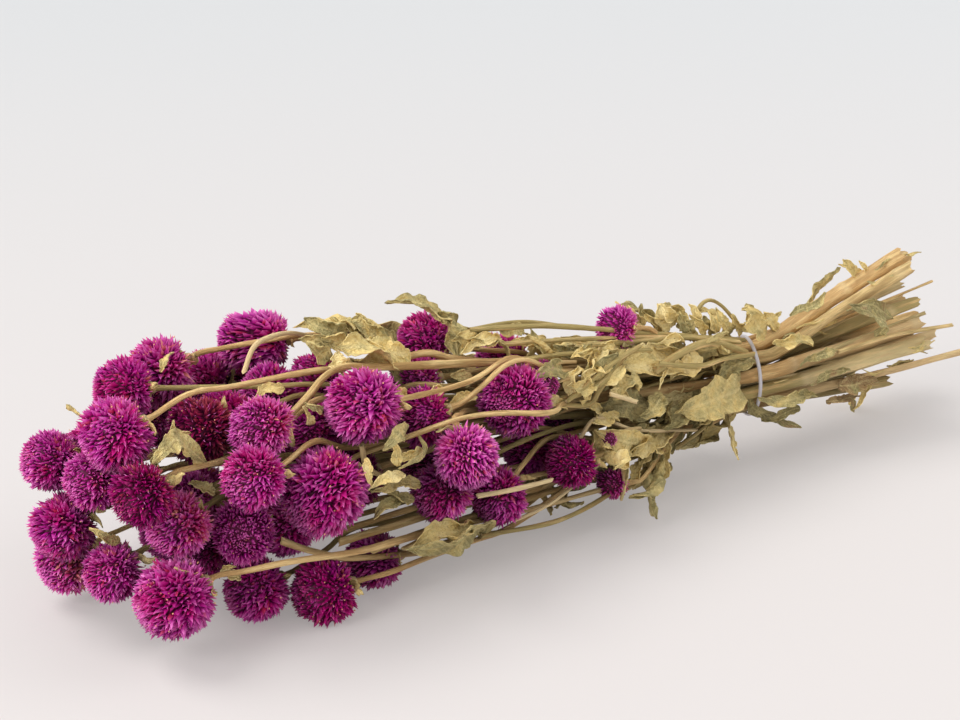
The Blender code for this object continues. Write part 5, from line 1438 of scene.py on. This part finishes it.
# Scraps and curled leaves that the picture shows: column, row and offset of foot and tip, half
# width, roll, twist, bow, tone
seenCurls = [
    (632, 328, 2, 618, 302, 4, 2.6, 2.6, 30, 2.0, 0.75),
    (646, 322, 2, 640, 304, 4, 2.4, 1.4, 60, 1.0, 0.15),
    (673, 326, 0, 662, 304, 3, 3.6, 0.9, -20, 1.5, 0.8),
    (692, 340, -4, 679, 311, 0, 3.4, 1.2, 30, 1.5, 0.2),
    (704, 336, -4, 692, 314, 0, 2.8, 1.6, 50, 1.5, 0.6),
    (718, 332, -4, 708, 311, -1, 2.6, 1.8, -60, 1.5, 0.7),
    (728, 330, -5, 716, 309, -2, 2.4, 1.6, 40, 1.5, 0.45),
    (765, 336, -9, 741, 310, -6, 5.2, 1.0, 15, 1.5, 0.55),
    (776, 330, -8, 762, 312, -6, 3.0, 1.4, 40, 1.5, 0.7),
    (684, 342, -12, 651, 341, -11, 3.0, 2.9, 60, 0.5, 0.95),
    (604, 350, -14, 585, 384, -26, 3.8, 1.5, 60, 2.0, 0.85),
    (592, 346, -12, 574, 360, -18, 3.0, 1.3, -30, 1.5, 0.6),
    (570, 396, -27, 576, 364, -20, 3.0, 1.8, 20, 1.5, 0.9),
    (588, 400, -27, 582, 368, -22, 2.6, 1.5, -60, 1.2, 0.65),
    (610, 391, -26, 638, 401, -26, 2.2, 3.0, 20, 0.3, 1.2),
    (664, 396, -22, 643, 418, -26, 4.2, 1.0, 20, 1.0, 0.3),
    (668, 369, -21, 657, 389, -23, 1.6, 2.2, 60, 0.6, 1.3),
    (752, 358, -16, 716, 380, -18, 5.0, 0.7, 15, 0.8, 0.15),
    (672, 428, -17, 634, 462, -24, 5.4, 1.2, -30, 2.0, 0.7),
    (664, 436, -18, 652, 488, -20, 4.6, 1.5, 50, 2.0, 0.6),
    (646, 424, -20, 618, 478, -28, 4.4, 1.3, -45, 2.0, 0.35),
    (652, 452, -20, 638, 490, -22, 3.6, 1.8, 40, 1.5, 0.75),
    (682, 428, -15, 668, 452, -16, 3.0, 1.4, 40, 1.0, 0.05),
    (698, 422, -14, 684, 440, -15, 2.4, 1.6, 40, 1.0, 0.1),
    (712, 416, -14, 700, 432, -15, 2.6, 1.2, 60, 1.0, 0.3),
    (600, 460, -28, 594, 430, -26, 4.2, 1.4, 20, 2.0, 0.65),
    (585, 357, -6, 551, 352, -8, 4.0, 0.8, 10, 1.0, 0.1),
    (560, 362, -12, 540, 346, -8, 2.6, 1.5, 40, 1.0, 0.6),
    (620, 350, -12, 596, 344, -12, 3.0, 1.2, 30, 1.0, 0.9),
    (566, 408, -26, 540, 396, -28, 2.6, 1.6, 50, 1.0, 0.8),
    (600, 412, -24, 578, 398, -26, 2.4, 1.8, 60, 1.0, 0.75),
    (356, 352, -4, 318, 334, 0, 4.4, 1.4, 60, 2.0, 0.5),
    (366, 330, 8, 358, 313, 8, 1.7, 2.0, 20, 0.6, 0.75),
    (408, 362, -12, 366, 342, -6, 4.8, 1.2, -60, 3.0, 0.9),
    (344, 372, -14, 336, 352, -10, 4.2, 0.6, 10, 0.8, 1.25),
    (330, 348, -2, 300, 336, 2, 3.2, 1.8, 80, 1.5, 0.25),
    (456, 324, 0, 432, 312, 4, 3.4, 1.5, 60, 2.0, 0.1),
    (500, 338, -4, 456, 352, -8, 3.0, 2.4, 20, 1.0, 0.85),
    (478, 346, -4, 452, 338, -2, 3.8, 1.2, 30, 1.0, 0.7),
    (444, 388, -22, 424, 402, -26, 2.8, 1.4, 60, 1.0, 1.0),
    (476, 396, -22, 444, 408, -24, 2.6, 1.6, 40, 1.0, 0.6),
    (470, 384, -16, 452, 372, -14, 3.0, 1.2, 50, 1.0, 0.35),
    (276, 420, -22, 258, 396, -18, 2.4, 1.5, 40, 1.0, 1.1),
    (192, 446, -18, 172, 420, -14, 2.6, 1.6, 70, 1.0, 0.8),
    (160, 452, -22, 152, 474, -24, 2.4, 1.8, 60, 0.8, 0.25),
    (215, 492, -20, 188, 484, -18, 2.6, 1.4, -50, 1.0, 0.95),
    (474, 526, -38, 414, 550, -45, 5.6, 2.2, 40, 2.0, 0.7),
    (404, 474, -46, 370, 488, -50, 2.4, 1.4, 90, 1.0, 0.95),
    (366, 458, -44, 372, 488, -48, 1.8, 1.6, 60, 1.0, 0.7),
    (398, 466, -46, 392, 436, -44, 2.2, 1.6, 10, 0.8, 0.6),
    (862, 280, 2, 842, 262, 2, 3.4, 0.9, 20, 1.0, 0.65),
    (866, 274, 0, 860, 260, 1, 1.4, 1.6, 20, 0.5, 0.9),
    (892, 318, -14, 852, 304, -16, 3.2, 1.4, 30, 1.5, 0.1),
    (812, 340, -16, 772, 348, -18, 3.6, 1.4, 40, 1.0, 0.55),
    # The lowest tones below darken scraps lying in the stalks' shade: partly their own brown,
    # partly painted shade.
    (850, 370, -20, 806, 382, -20, 1.9, 1.5, 40, 1.0, -0.1),
    (836, 350, -20, 800, 366, -22, 2.6, 1.6, 40, 1.0, 0.1),
    (816, 396, -20, 760, 402, -20, 3.4, 1.5, 20, 1.0, 0.2),
    (838, 386, -18, 878, 384, -20, 4.6, 0.7, 20, 1.0, -0.45),
    (800, 408, -17, 764, 420, -16, 2.6, 1.4, 40, 1.0, 0.1),
    (872, 382, -20, 852, 410, -20, 1.6, 1.8, 30, 0.8, 0.6),
    (826, 402, -19, 858, 400, -20, 2.6, 1.0, 40, 0.8, -0.4),
    (852, 398, -20, 854, 412, -20, 1.4, 1.2, 30, 0.4, -0.3),
    (742, 330, -4, 784, 316, -2, 2.6, 1.5, 40, 0.8, 0.3),
    (790, 316, -6, 826, 296, -4, 2.2, 1.8, 30, 0.6, 0.1),
    (660, 448, -20, 628, 450, -27, 4.6, 1.1, 50, 2.0, 0.8),
    (668, 462, -18, 650, 478, -22, 3.4, 1.6, -40, 1.5, 0.4),
    (640, 462, -24, 624, 494, -26, 3.2, 1.4, 60, 1.5, 0.55),
    (622, 440, -27, 612, 470, -30, 3.4, 1.5, -50, 1.5, 0.9),
    (690, 404, -19, 664, 430, -22, 4.2, 1.2, 60, 1.5, 0.25),
    (640, 380, -23, 612, 396, -26, 4.4, 0.9, -30, 1.5, 0.45),
    (622, 366, -22, 598, 386, -26, 3.8, 1.3, 40, 1.5, 0.65),
    (700, 356, -18, 672, 382, -20, 4.4, 1.0, 30, 1.5, 0.85),
    (598, 384, -24, 566, 390, -27, 3.4, 1.5, 50, 1.5, 0.5),
    (618, 418, -26, 590, 424, -28, 3.6, 1.4, -50, 1.5, 0.75),
    (560, 372, -16, 532, 368, -16, 3.4, 1.4, 40, 1.5, 0.55),
    (546, 340, -2, 508, 348, -4, 3.6, 1.2, -40, 1.5, 0.6),
    (524, 332, 2, 496, 330, 2, 3.0, 1.4, 50, 1.2, 0.35),
    (424, 452, -40, 398, 462, -42, 2.8, 1.5, 50, 1.2, 0.6),
    (400, 500, -40, 372, 516, -44, 2.6, 1.4, -40, 1.0, 0.35),
    (234, 444, -14, 208, 470, -14, 2.8, 1.6, 60, 1.2, 0.5),
    (420, 484, -38, 368, 488, -42, 3.2, 1.4, 40, 1.5, 0.7),
    (414, 500, -38, 372, 494, -40, 2.6, 1.2, -40, 1.0, 0.3),
    (322, 412, -28, 306, 402, -26, 2.2, 2.0, 60, 0.8, 0.2),
    (312, 424, -26, 302, 408, -26, 2.0, 1.6, -60, 0.8, 0.8),
    (404, 400, -26, 394, 384, -24, 2.6, 1.4, 60, 1.0, 0.85),
    (294, 446, -28, 278, 424, -32, 1.4, 1.0, 30, 0.6, 1.4),
    (290, 440, -28, 284, 420, -34, 1.0, 1.4, -30, 0.4, 1.4),
    (110, 506, -2, 96, 512, -4, 2.4, 1.4, 50, 0.8, 0.3),
    (120, 542, -8, 90, 532, -8, 2.0, 1.2, 40, 0.8, 0.6),
    (196, 586, -36, 176, 566, -38, 2.2, 1.6, 60, 1.0, 1.05),
    (222, 574, -32, 236, 566, -34, 1.8, 2.0, 80, 1.0, 0.6),
    (240, 578, -34, 220, 572, -34, 2.0, 1.8, 60, 1.0, 1.05),
    (284, 388, -12, 252, 396, -14, 2.6, 1.0, 30, 1.0, 0.75),
    (160, 372, 6, 172, 352, 10, 1.6, 1.4, 40, 0.6, 0.4),
    (640, 330, 0, 628, 306, 2, 3.2, 1.4, 40, 1.0, 0.5),
    (660, 332, 0, 648, 312, 1, 3.4, 1.6, 50, 1.0, 0.7),
    (668, 332, -2, 656, 306, 0, 3.0, 1.2, 30, 1.0, 1.0),
    (690, 334, -2, 678, 316, 0, 3.4, 1.8, 60, 1.0, 0.3),
    (712, 334, -2, 704, 316, 0, 3.0, 2.0, 60, 1.0, 0.2),
    (730, 334, -2, 722, 318, -1, 3.0, 1.8, 50, 1.0, 0.3),
    (742, 332, -2, 730, 316, -1, 3.0, 1.4, 50, 1.0, 0.6),
    (752, 330, -2, 748, 312, -1, 3.0, 1.2, 30, 1.0, 0.6),
    (700, 330, 0, 690, 304, 2, 2.4, 1.2, 30, 1.0, 0.9),
    (345, 340, 4, 305, 318, 8, 4.6, 1.2, 60, 2.0, 0.15),
    (372, 336, 6, 330, 318, 10, 4.4, 1.4, -50, 2.0, 0.35),
    (395, 345, 2, 352, 325, 6, 4.6, 1.0, 40, 2.0, 0.2),
    (330, 360, -6, 305, 345, -4, 3.6, 1.6, 50, 1.0, 0.3),
    (390, 362, -8, 350, 360, -8, 4.0, 1.3, 40, 1.0, 0.75),
    (472, 384, -8, 438, 370, -4, 4.4, 1.0, 30, 1.0, 0.0),
    (420, 380, -6, 384, 372, -4, 4.0, 1.2, 40, 1.0, 0.05),
]

# Thin twigs that the picture shows: radius, tone, pale share, then column, row and offset of each
# bend
seenTwigs = [
    (0.85, 0.9, 0.2, (692, 326, 0), (700, 306, 2), (710, 300, 2), (722, 306, 2), (736, 322, 0)),
    (0.65, 0.1, 1.0, (514, 521, -37), (550, 504, -36), (590, 472, -31), (616, 452, -27)),
    (0.8, 0.1, 0.8, (580, 438, -27), (598, 418, -27), (636, 430, -25), (696, 430, -17)),
    (1.0, 0.2, 0.9, (478, 496, -44), (512, 490, -43), (552, 480, -40)),
    (1.0, 0.1, 0.7, (244, 372, 2), (253, 348, 6), (268, 338, 9), (292, 333, 12), (326, 341, 14)),
    (1.2, 0.7, 0.1, (584, 346, -12), (640, 341, -11), (690, 338, -10), (740, 342, -12)),
    (1.0, 0.9, 0.0, (566, 402, -28), (612, 364, -24), (640, 346, -18)),
    (1.0, 0.8, 0.0, (480, 536, -36), (560, 520, -34), (622, 486, -26), (668, 452, -18)),
    (1.3, 0.3, 0.3, (282, 541, -34), (312, 551, -34), (352, 558, -34), (430, 552, -30)),
    (0.9, 0.8, 0.1, (676, 448, -16), (696, 434, -16), (716, 418, -15), (742, 408, -14)),
    (1.0, 0.5, 0.3, (838, 352, -20), (890, 336, -20), (952, 325, -22)),
    (0.7, 0.2, 0.6, (622, 466, -29), (624, 484, -30), (621, 500, -31)),
    (0.8, 0.6, 0.2, (600, 376, -24), (592, 362, -20), (600, 348, -15)),
    (0.9, 0.9, 0.0, (470, 330, 4), (520, 322, 4), (580, 328, 2), (660, 334, -2)),
    (1.2, 0.3, 0.2, (341, 531, -30), (417, 507, -30), (490, 486, -26), (560, 470, -22)),
    (1.5, 0.4, 0.1, (340, 542, -33), (400, 524, -33), (470, 504, -31), (540, 488, -26)),
    (1.3, 0.5, 0.1, (372, 551, -33), (430, 530, -33), (500, 508, -30), (580, 482, -24)),
    (1.1, 0.2, 0.4, (404, 549, -35), (450, 528, -34), (520, 512, -31), (600, 490, -26)),
    (1.0, 0.7, 0.1, (352, 517, -24), (412, 500, -24), (470, 486, -22)),
    (1.0, 0.3, 0.5, (362, 446, -36), (368, 468, -38), (398, 483, -40)),
    (0.9, 0.6, 0.1, (350, 500, -18), (420, 480, -18), (500, 470, -16), (580, 450, -14)),
    (1.1, 0.8, 0.0, (214, 486, -8), (250, 470, -8), (320, 462, -10), (420, 452, -12)),
    (1.0, 0.4, 0.3, (205, 495, -4), (250, 492, -6), (320, 480, -8), (400, 470, -10)),
    (1.1, 0.9, 0.0, (470, 330, -2), (540, 326, -5), (600, 329, -9), (645, 333, -9), (745, 340, -6)),
    (0.9, 0.7, 0.2, (500, 344, -6), (560, 340, -9), (610, 338, -10), (660, 337, -10),
     (740, 342, -8)),
    (1.5, 0.8, 0.1, (545, 405, -25), (580, 393, -26), (605, 380, -25), (622, 353, -20)),
    (1.1, 0.7, 0.1, (548, 403, -26), (588, 405, -27), (600, 389, -26), (628, 352, -20)),
    (1.7, 0.7, 0.1, (656, 370, -21), (678, 355, -20), (702, 344, -18), (722, 344, -17),
     (746, 353, -16)),
    (1.1, 0.8, 0.1, (660, 364, -22), (700, 366, -22), (724, 359, -21), (754, 354, -18)),
    (0.95, 0.1, 0.9, (610, 394, -31), (624, 398, -31), (637, 402, -31)),
    (1.0, 0.9, 0.0, (500, 366, -14), (548, 356, -14), (600, 352, -15), (650, 350, -15)),
]


def growTwig(heap, points, radius, tone, pale, seed):
    # A thin tube along a smooth line, a little uneven and finer towards its end.
    step, sides = 1.8, 7
    path = evenCurve(points, step)
    count = len(path)
    wave = np.sin(np.arange(count) * step / 4.0 + seed)
    width = radius * (1.0 + 0.08 * wave) * np.linspace(1.0, 0.85, count)
    sweepTube(heap, path, width, sides, seed, np.ones((count, sides)), tone, np.full(count, pale),
              (0.4, 0.4), np.random.default_rng(int(seed * 10) + 6000))


def heapNear(place):
    # The piece of the stalk whose stems come nearest to a place.
    return leafHeaps[int(bundle.group[int(np.argmin(lengths(bundle.place - place)))])]


# What lies loose in the bunch: how many, and from where to where along it, in millimetres
litter = {
    "leaves": (84, -104.0, -8.0),
    "inner": (60, -96, -6),
    "stalkScraps": (52, 6, 74),
    "straws": 20,
    "twigs": (16, -60, -12),
}


def outside(rng, low, high):
    # The place furthest out on the stems at a random station and bearing, the way out there, and
    # the middle of the bunch.
    x = rng.uniform(low, high)
    bearing = rng.uniform(-math.pi, math.pi)
    near = bundle.place[np.abs(bundle.place[:, 0] - x) < 5.0]
    outward = np.array([0.0, math.cos(bearing), math.sin(bearing)])
    axis = np.array([x, 0.0, layout["bandHeight"]])
    fromAxis = near - axis
    aside = np.abs(np.cross(fromAxis, outward)[:, 0])
    return near[int(np.argmax(fromAxis @ outward - 0.6 * aside))], outward, axis


def clearOfHeads(places, room):
    # Whether all the places keep that room from the heads and lie above the table.
    balls, sizes, _ = heads.balls()
    gap = lengths(places[:, None] - balls[None]) - sizes[None]
    return gap.min() > room and places[:, 2].min() > 1.5


def scatterLitter():
    # Crumpled leaves all round the stems between the flowers and the band, smaller ones inside,
    # shreds and straws among the cut stalks, and thin twigs.
    rng = np.random.default_rng(4242)

    def tipFrom(spot, way, scatter, length, lowest=-100.0):
        tip = spot + unit(way + rng.normal(0, scatter, 3)) * length
        tip[2] = max(tip[2], lowest)
        return tip

    count, low, high = litter["leaves"]
    made = 0
    while made < count:
        spot, outward, _ = outside(rng, low, high)
        length = rng.uniform(9, 27)
        way = np.array([-rng.uniform(0.2, 1.0), 0, 0]) + outward * rng.uniform(0.05, 0.75)
        tip = tipFrom(spot, way, 0.35, length, 3.5)
        if not clearOfHeads(np.array([tip, 0.5 * (spot + tip)]), 3.0) and rng.uniform() < 0.9:
            continue
        curledLeaf(heapNear(spot), spot, tip, outward, length * rng.uniform(0.14, 0.27),
                   rng.uniform(0.4, 2.4), rng.uniform(-90, 90), rng.uniform(0, 3), 300 + made,
                   rng.uniform(0.0, 1.1), 1.0, (20, 9))
        made += 1
    count, low, high = litter["inner"]
    for number in range(count):
        spot, outward, axis = outside(rng, low, high)
        spot = axis + (spot - axis) * rng.uniform(0.3, 0.9)
        length = rng.uniform(12, 26)
        tip = tipFrom(spot, np.array([-1.0, 0, 0]), 0.35, length)
        if clearOfHeads(np.array([tip]), 1.0):
            curledLeaf(heapNear(spot), spot, tip, outward, rng.uniform(2.5, 5.0),
                       rng.uniform(0.5, 2.0), rng.uniform(-90, 90), 1.0, 600 + number,
                       rng.uniform(-0.2, 0.6), 1.0, (12, 7))
    count, low, high = litter["stalkScraps"]
    for number in range(count):
        spot, outward, _ = outside(rng, low, high)
        spot = spot + outward * rng.uniform(-3.0, 1.6)
        length = rng.uniform(7, 22)
        way = np.array([rng.choice([-1.0, 1.0]), 0, 0]) + outward * rng.uniform(-0.15, 0.08)
        tip = tipFrom(spot, way, 0.09, length, 2.5)
        curledLeaf(heapNear(spot), spot, tip, outward, rng.uniform(0.6, 1.9),
                   rng.uniform(0.8, 2.6), rng.uniform(-90, 90), rng.uniform(0, 1), 400 + number,
                   rng.uniform(-0.1, 1.0), 0.8, (14, 7))
    for number in range(litter["straws"]):
        bearing = rng.uniform(-math.pi, math.pi)
        turn = bearing + rng.normal(0, 0.35)
        points = []
        for x, grow, angle in ((-14, 0.80, bearing), (12, 0.88, bearing), (40, 1.15, turn),
                               (rng.uniform(56, 88), 1.45, turn)):
            rise = np.array([x, 0, 0.10 * max(x, 0)])
            points.append(around(angle, rng.uniform(6.0, 13.0) * grow) + rise)
        growTwig(heapNear(points[2]), points, rng.uniform(0.6, 1.2), rng.uniform(0, 1),
                 rng.uniform(0, 1.0), 700 + number)
    count, low, high = litter["twigs"]
    for number in range(count):
        spot, outward, _ = outside(rng, low, high)
        across = np.array([0.0, -outward[2], outward[1]])
        length = rng.uniform(25, 60)
        turn = rng.uniform(-0.5, 0.5)
        bends = ((0.35, 1.5, 0.2), (0.7, 4, 0.45), (1, 5, 0.6))
        points = [spot] + [shifted(spot, -share * length) + outward * lift
                           + across * turn * swing * length for share, lift, swing in bends]
        if clearOfHeads(np.array(points), 2.0):
            growTwig(heapNear(spot), points, rng.uniform(0.6, 1.1), rng.uniform(0, 1),
                     rng.uniform(0, 0.6), 500 + number)


leafHeaps = [Heap() for _ in range(layout["stalkCount"])]
for number, stem in enumerate(stems):
    growStem(leafHeaps[stem.group], number)
    if stem.head is not None:
        growCollar(leafHeaps[stem.group], number)
print("stems and collars grown")

for number, row in enumerate(seenCurls):
    foot, tip = seenAt(*row[0:3]), seenAt(*row[3:6])
    curledLeaf(heapNear(foot), foot, tip, np.array([0, 0, 0.5]) - into, *row[6:10], 200 + number,
               row[10])
for number, row in enumerate(seenTwigs):
    points = [seenAt(*bend) for bend in row[3:]]
    growTwig(heapNear(points[0]), points, *row[:3], number)
scatterLitter()
print("scraps, curls and twigs grown")

# Small buds between the stems: column, row and offset of the bud and of its stalk's foot, radius
smallBuds = [
    (543, 368, -22, 576, 362, -18, 3.4), (547, 385, -26, 584, 378, -22, 4.4),
    (609, 439, -31, 640, 428, -26, 3.0),
]

budHeap = Heap()
for number, row in enumerate(smallBuds):
    bud, foot = seenAt(*row[0:3]), seenAt(*row[3:6])
    facing = unit(bud - foot)
    growHead(budHeap, bud, row[6], facing, 1.0, 900 + number, (0.0, 0.6))
    bend = 0.5 * (bud + foot) + np.array([0, 0, 1.0])
    growTwig(heapNear(foot), [foot, bend, bud - facing * row[6] * 0.8], 0.8, 0.4, 0.4, 80 + number)
waiting.append((budHeap, "smallBuds", bractMaterial, [], "flower_bright", 28.0))
print("buds grown")

leafTones = np.random.default_rng(77).uniform(0.1, 0.9, len(seenLeaves) + len(farLeaves))
# A few leaves get a fixed tone; the lowest darken leaves that lie in shade, partly their own colour
# and partly painted shade.
leafTones[[4, 8, 14, 15, 18, 23, 24, 25]] = [0.55, 0.45, 0.25, 0.45, 0.15, -0.05, 0.55, -0.05]
# Shares of their guide's width and length that some leaves keep
leafTrim = {18: (0.60, 0.55), 23: (0.75, 1.0), 25: (0.70, 1.0)}
for number, row in enumerate(seenLeaves):
    group, guide = leafGuide(seenAt(*row[0:3]), seenAt(*row[3:6]), *row[6:10], 1.7 * number)
    narrow, short = leafTrim.get(number, (1.0, 1.0))
    guide = guide[:, 1:2] + (guide - guide[:, 1:2]) * narrow
    guide = guide[:1] + (guide - guide[:1]) * short
    growLeaf(leafHeaps[group], guide, number, leafTones[number])
for number, row in enumerate(farLeaves):
    group, guide = leafGuide(*row, 1.3 * number + 0.4)
    growLeaf(leafHeaps[group], guide, 40 + number, leafTones[len(seenLeaves) + number])
print("leaves grown")

for group, heap in enumerate(leafHeaps):
    waiting.append((heap, f"stalk_{group + 1:02d}", plantMaterial, [f"leafy_stem_{group + 1:02d}"],
                    ["stem_tan", "stem_olive"][group % 2], 60.0))
# The openness that sets the painted shade, from the points of all the pieces.
shelter = Shelter(np.vstack([block for heap, *_ in waiting for block in heap.places]))
for heap, *what in waiting:
    heap.makePiece(*what, shelter)
print("pieces made")


# Elastic band

band = {
    "middleRadius": 15.6,
    "halfThickness": 0.5,
    "halfWidth": 0.7,
    "lean": 4.2,             # how far the near side sits towards the flowers
    "colour": (0.80, 0.77, 0.79),
    "shadow": (0.50, 0.47, 0.50),
}


def bandFinish():
    f = Finish("paleElastic", Specular_IOR_Level=0.5)
    grain = f.attribute("grain")
    place = f.node("ShaderNodeVectorMath", {"operation": "MULTIPLY"},
                   {0: grain, 1: (1.0, 0.0, 0.0)})
    thread = f.node("ShaderNodeTexWave", {"wave_type": "BANDS", "bands_direction": "X"},
                    {"Vector": place, "Scale": 1.1})
    dust = f.noise(grain, 1.3)
    colour = f.mix(thread * 0.5 + dust * 0.3, band["shadow"], band["colour"])
    return f.done(Base_Color=colour, Roughness=f.between(dust, 0.3, 0.7, 0.4, 0.6),
                  Normal=f.bump(thread, 0.4, 0.0002))


def rounded(wave):
    # A wave drawn out towards a square one.
    return np.sign(wave) * np.abs(wave) ** 0.55


def makeBand():
    # A rounded flat section carried round a slightly uneven ring.
    turns, sides = 160, 16
    bearing = (np.arange(turns) * 2 * math.pi / turns)[:, None]
    angle = (np.arange(sides) * 2 * math.pi / sides)[None]
    deep = band["halfThickness"] * rounded(np.cos(angle))
    wide = band["halfWidth"] * rounded(np.sin(angle))
    radius = band["middleRadius"] + 0.10 * np.sin(5 * bearing) + deep
    lean = 0.35 * np.sin(bearing) + band["lean"] * np.cos(bearing)
    places = np.stack([wide + lean, np.cos(bearing) * radius,
                       layout["bandHeight"] + np.sin(bearing) * radius], -1)
    index = np.arange(turns * sides).reshape(turns, sides)
    after = np.roll(index, -1, 0)
    faces = np.stack([index, np.roll(index, -1, 1), np.roll(after, -1, 1), after], -1)
    heap = Heap()
    heap.add(places, [faces.reshape(-1, 4)], (wide, bearing * 15.0, deep), (0.0, 0.0, 0.0))
    heap.makePiece("elasticBand", bandFinish(), ["tie_band"], "band")


makeBand()
print("band made")


# Floor, light and camera

stage = {
    "near": (0.466, 0.439, 0.429),
    "far": (0.445, 0.455, 0.462),
    "glow": 0.55,            # its own light, which keeps the shadows pale
    "depth": 1.6,
    "rise": 1.6,
    "halfWidth": 3.0,
    "bend": 0.7,
}


def makeStage():
    # A floor that turns up into a back wall on a quarter circle, square to the camera's direction.
    ahead = np.array([into[0], into[1], 0.0])
    ahead = ahead / np.linalg.norm(ahead)
    curve = np.linspace(0, math.pi / 2, 25)
    run = np.concatenate([[-stage["depth"]], stage["depth"] + stage["bend"] * np.sin(curve),
                          [stage["depth"] + stage["bend"]]])
    up = np.concatenate([[0.0], stage["bend"] * (1 - np.cos(curve)),
                         [stage["bend"] + stage["rise"]]])
    wide = np.linspace(-stage["halfWidth"], stage["halfWidth"], 9)
    places = (ahead[None, None] * run[:, None, None] + rightward[None, None] * wide[None, :, None]
              + np.array([0.0, 0.0, 1.0]) * up[:, None, None])
    faces = gridFaces(len(run), len(wide))[:, ::-1]
    mesh = bpy.data.meshes.new("paperSweep")
    mesh.from_pydata(places.reshape(-1, 3).tolist(), [], faces.tolist())
    mesh.shade_smooth()
    f = Finish("palePaper", Emission_Strength=stage["glow"])
    place = f.node("ShaderNodeTexCoord", output=3)
    soft = f.noise(place, 3.0, 3.0)
    depth = f.node("ShaderNodeVectorMath", {"operation": "DOT_PRODUCT"},
                   {0: place, 1: tuple(ahead)}, output=1)
    paper = f.mix(f.between(depth, -0.15, 1.0), stage["near"], stage["far"])
    paper = f.mix(soft * 0.06, paper, (0.5, 0.5, 0.5))
    mesh.materials.append(f.done(Base_Color=paper, Emission_Color=paper,
                                 Roughness=f.between(soft, 0.2, 0.8, 0.75, 0.85)))
    floor = bpy.data.objects.new("paperSweep", mesh)
    bpy.context.scene.collection.objects.link(floor)


lights = {
    "keyFrom": (-0.52, 0.10, 0.85),     # to the camera's right, into the picture and up
    "keyStrength": 1.50,
    "keySpread": 36.0,                  # degrees
    "world": 0.585,
    # name: place in the same three directions, in metres, size, watts, colour
    "boxes": {
        "softboxLeft": ((-1.1, -0.9, 0.8), 0.8, 12.0, (1.0, 1.0, 1.0)),
        "softboxRight": ((1.25, 0.15, 0.9), 1.0, 5.0, (1.0, 0.99, 0.98)),
        "cardFront": ((0.6, -1.3, 0.5), 1.2, 1.5, (1.0, 0.99, 0.98)),
    },
}


def studioDirection(numbers):
    # From the camera's right, the way into the picture and up to the scene's own axes.
    ahead = unit(np.array([into[0], into[1], 0.0]))
    return rightward * numbers[0] + ahead * numbers[1] + np.array([0.0, 0.0, numbers[2]])


def placeLamp(name, lamp, place, power, colour):
    lamp.energy = power
    lamp.color = colour
    holder = bpy.data.objects.new(name, lamp)
    holder.location = place
    holder.rotation_mode = "QUATERNION"
    holder.rotation_quaternion = (Vector((0.0, 0.0, 0.03)) - Vector(place)).to_track_quat("-Z", "Y")
    bpy.context.scene.collection.objects.link(holder)


def makeLights():
    key = bpy.data.lights.new("windowLight", "SUN")
    key.angle = math.radians(lights["keySpread"])
    placeLamp("windowLight", key, studioDirection(lights["keyFrom"]) * 2.0, lights["keyStrength"],
              (1.0, 0.985, 0.965))
    for name, (place, size, power, colour) in lights["boxes"].items():
        lamp = bpy.data.lights.new(name, "AREA")
        lamp.size = size
        placeLamp(name, lamp, studioDirection(place), power, colour)
    world = bpy.data.worlds.new("studio")
    world.use_nodes = True
    background = world.node_tree.nodes["Background"]
    background.inputs["Color"].default_value = (0.97, 0.98, 1.0, 1.0)
    background.inputs["Strength"].default_value = lights["world"]
    bpy.context.scene.world = world


def makeCamera():
    data = bpy.data.cameras.new("camera")
    data.sensor_width = 36.0
    data.lens = viewpoint["focal"] / viewpoint["frameWidth"] * 36.0
    data.clip_start = 0.05
    data.clip_end = 20.0
    camera = bpy.data.objects.new("camera", data)
    camera.location = (eye + bandFromMiddle) * 0.001
    camera.rotation_mode = "QUATERNION"
    camera.rotation_quaternion = Vector(into).to_track_quat("-Z", "Y")
    bpy.context.scene.collection.objects.link(camera)
    bpy.context.scene.camera = camera


makeStage()
makeLights()
makeCamera()
bpy.context.scene.view_settings.view_transform = "Standard"
print("floor, lights and camera placed")
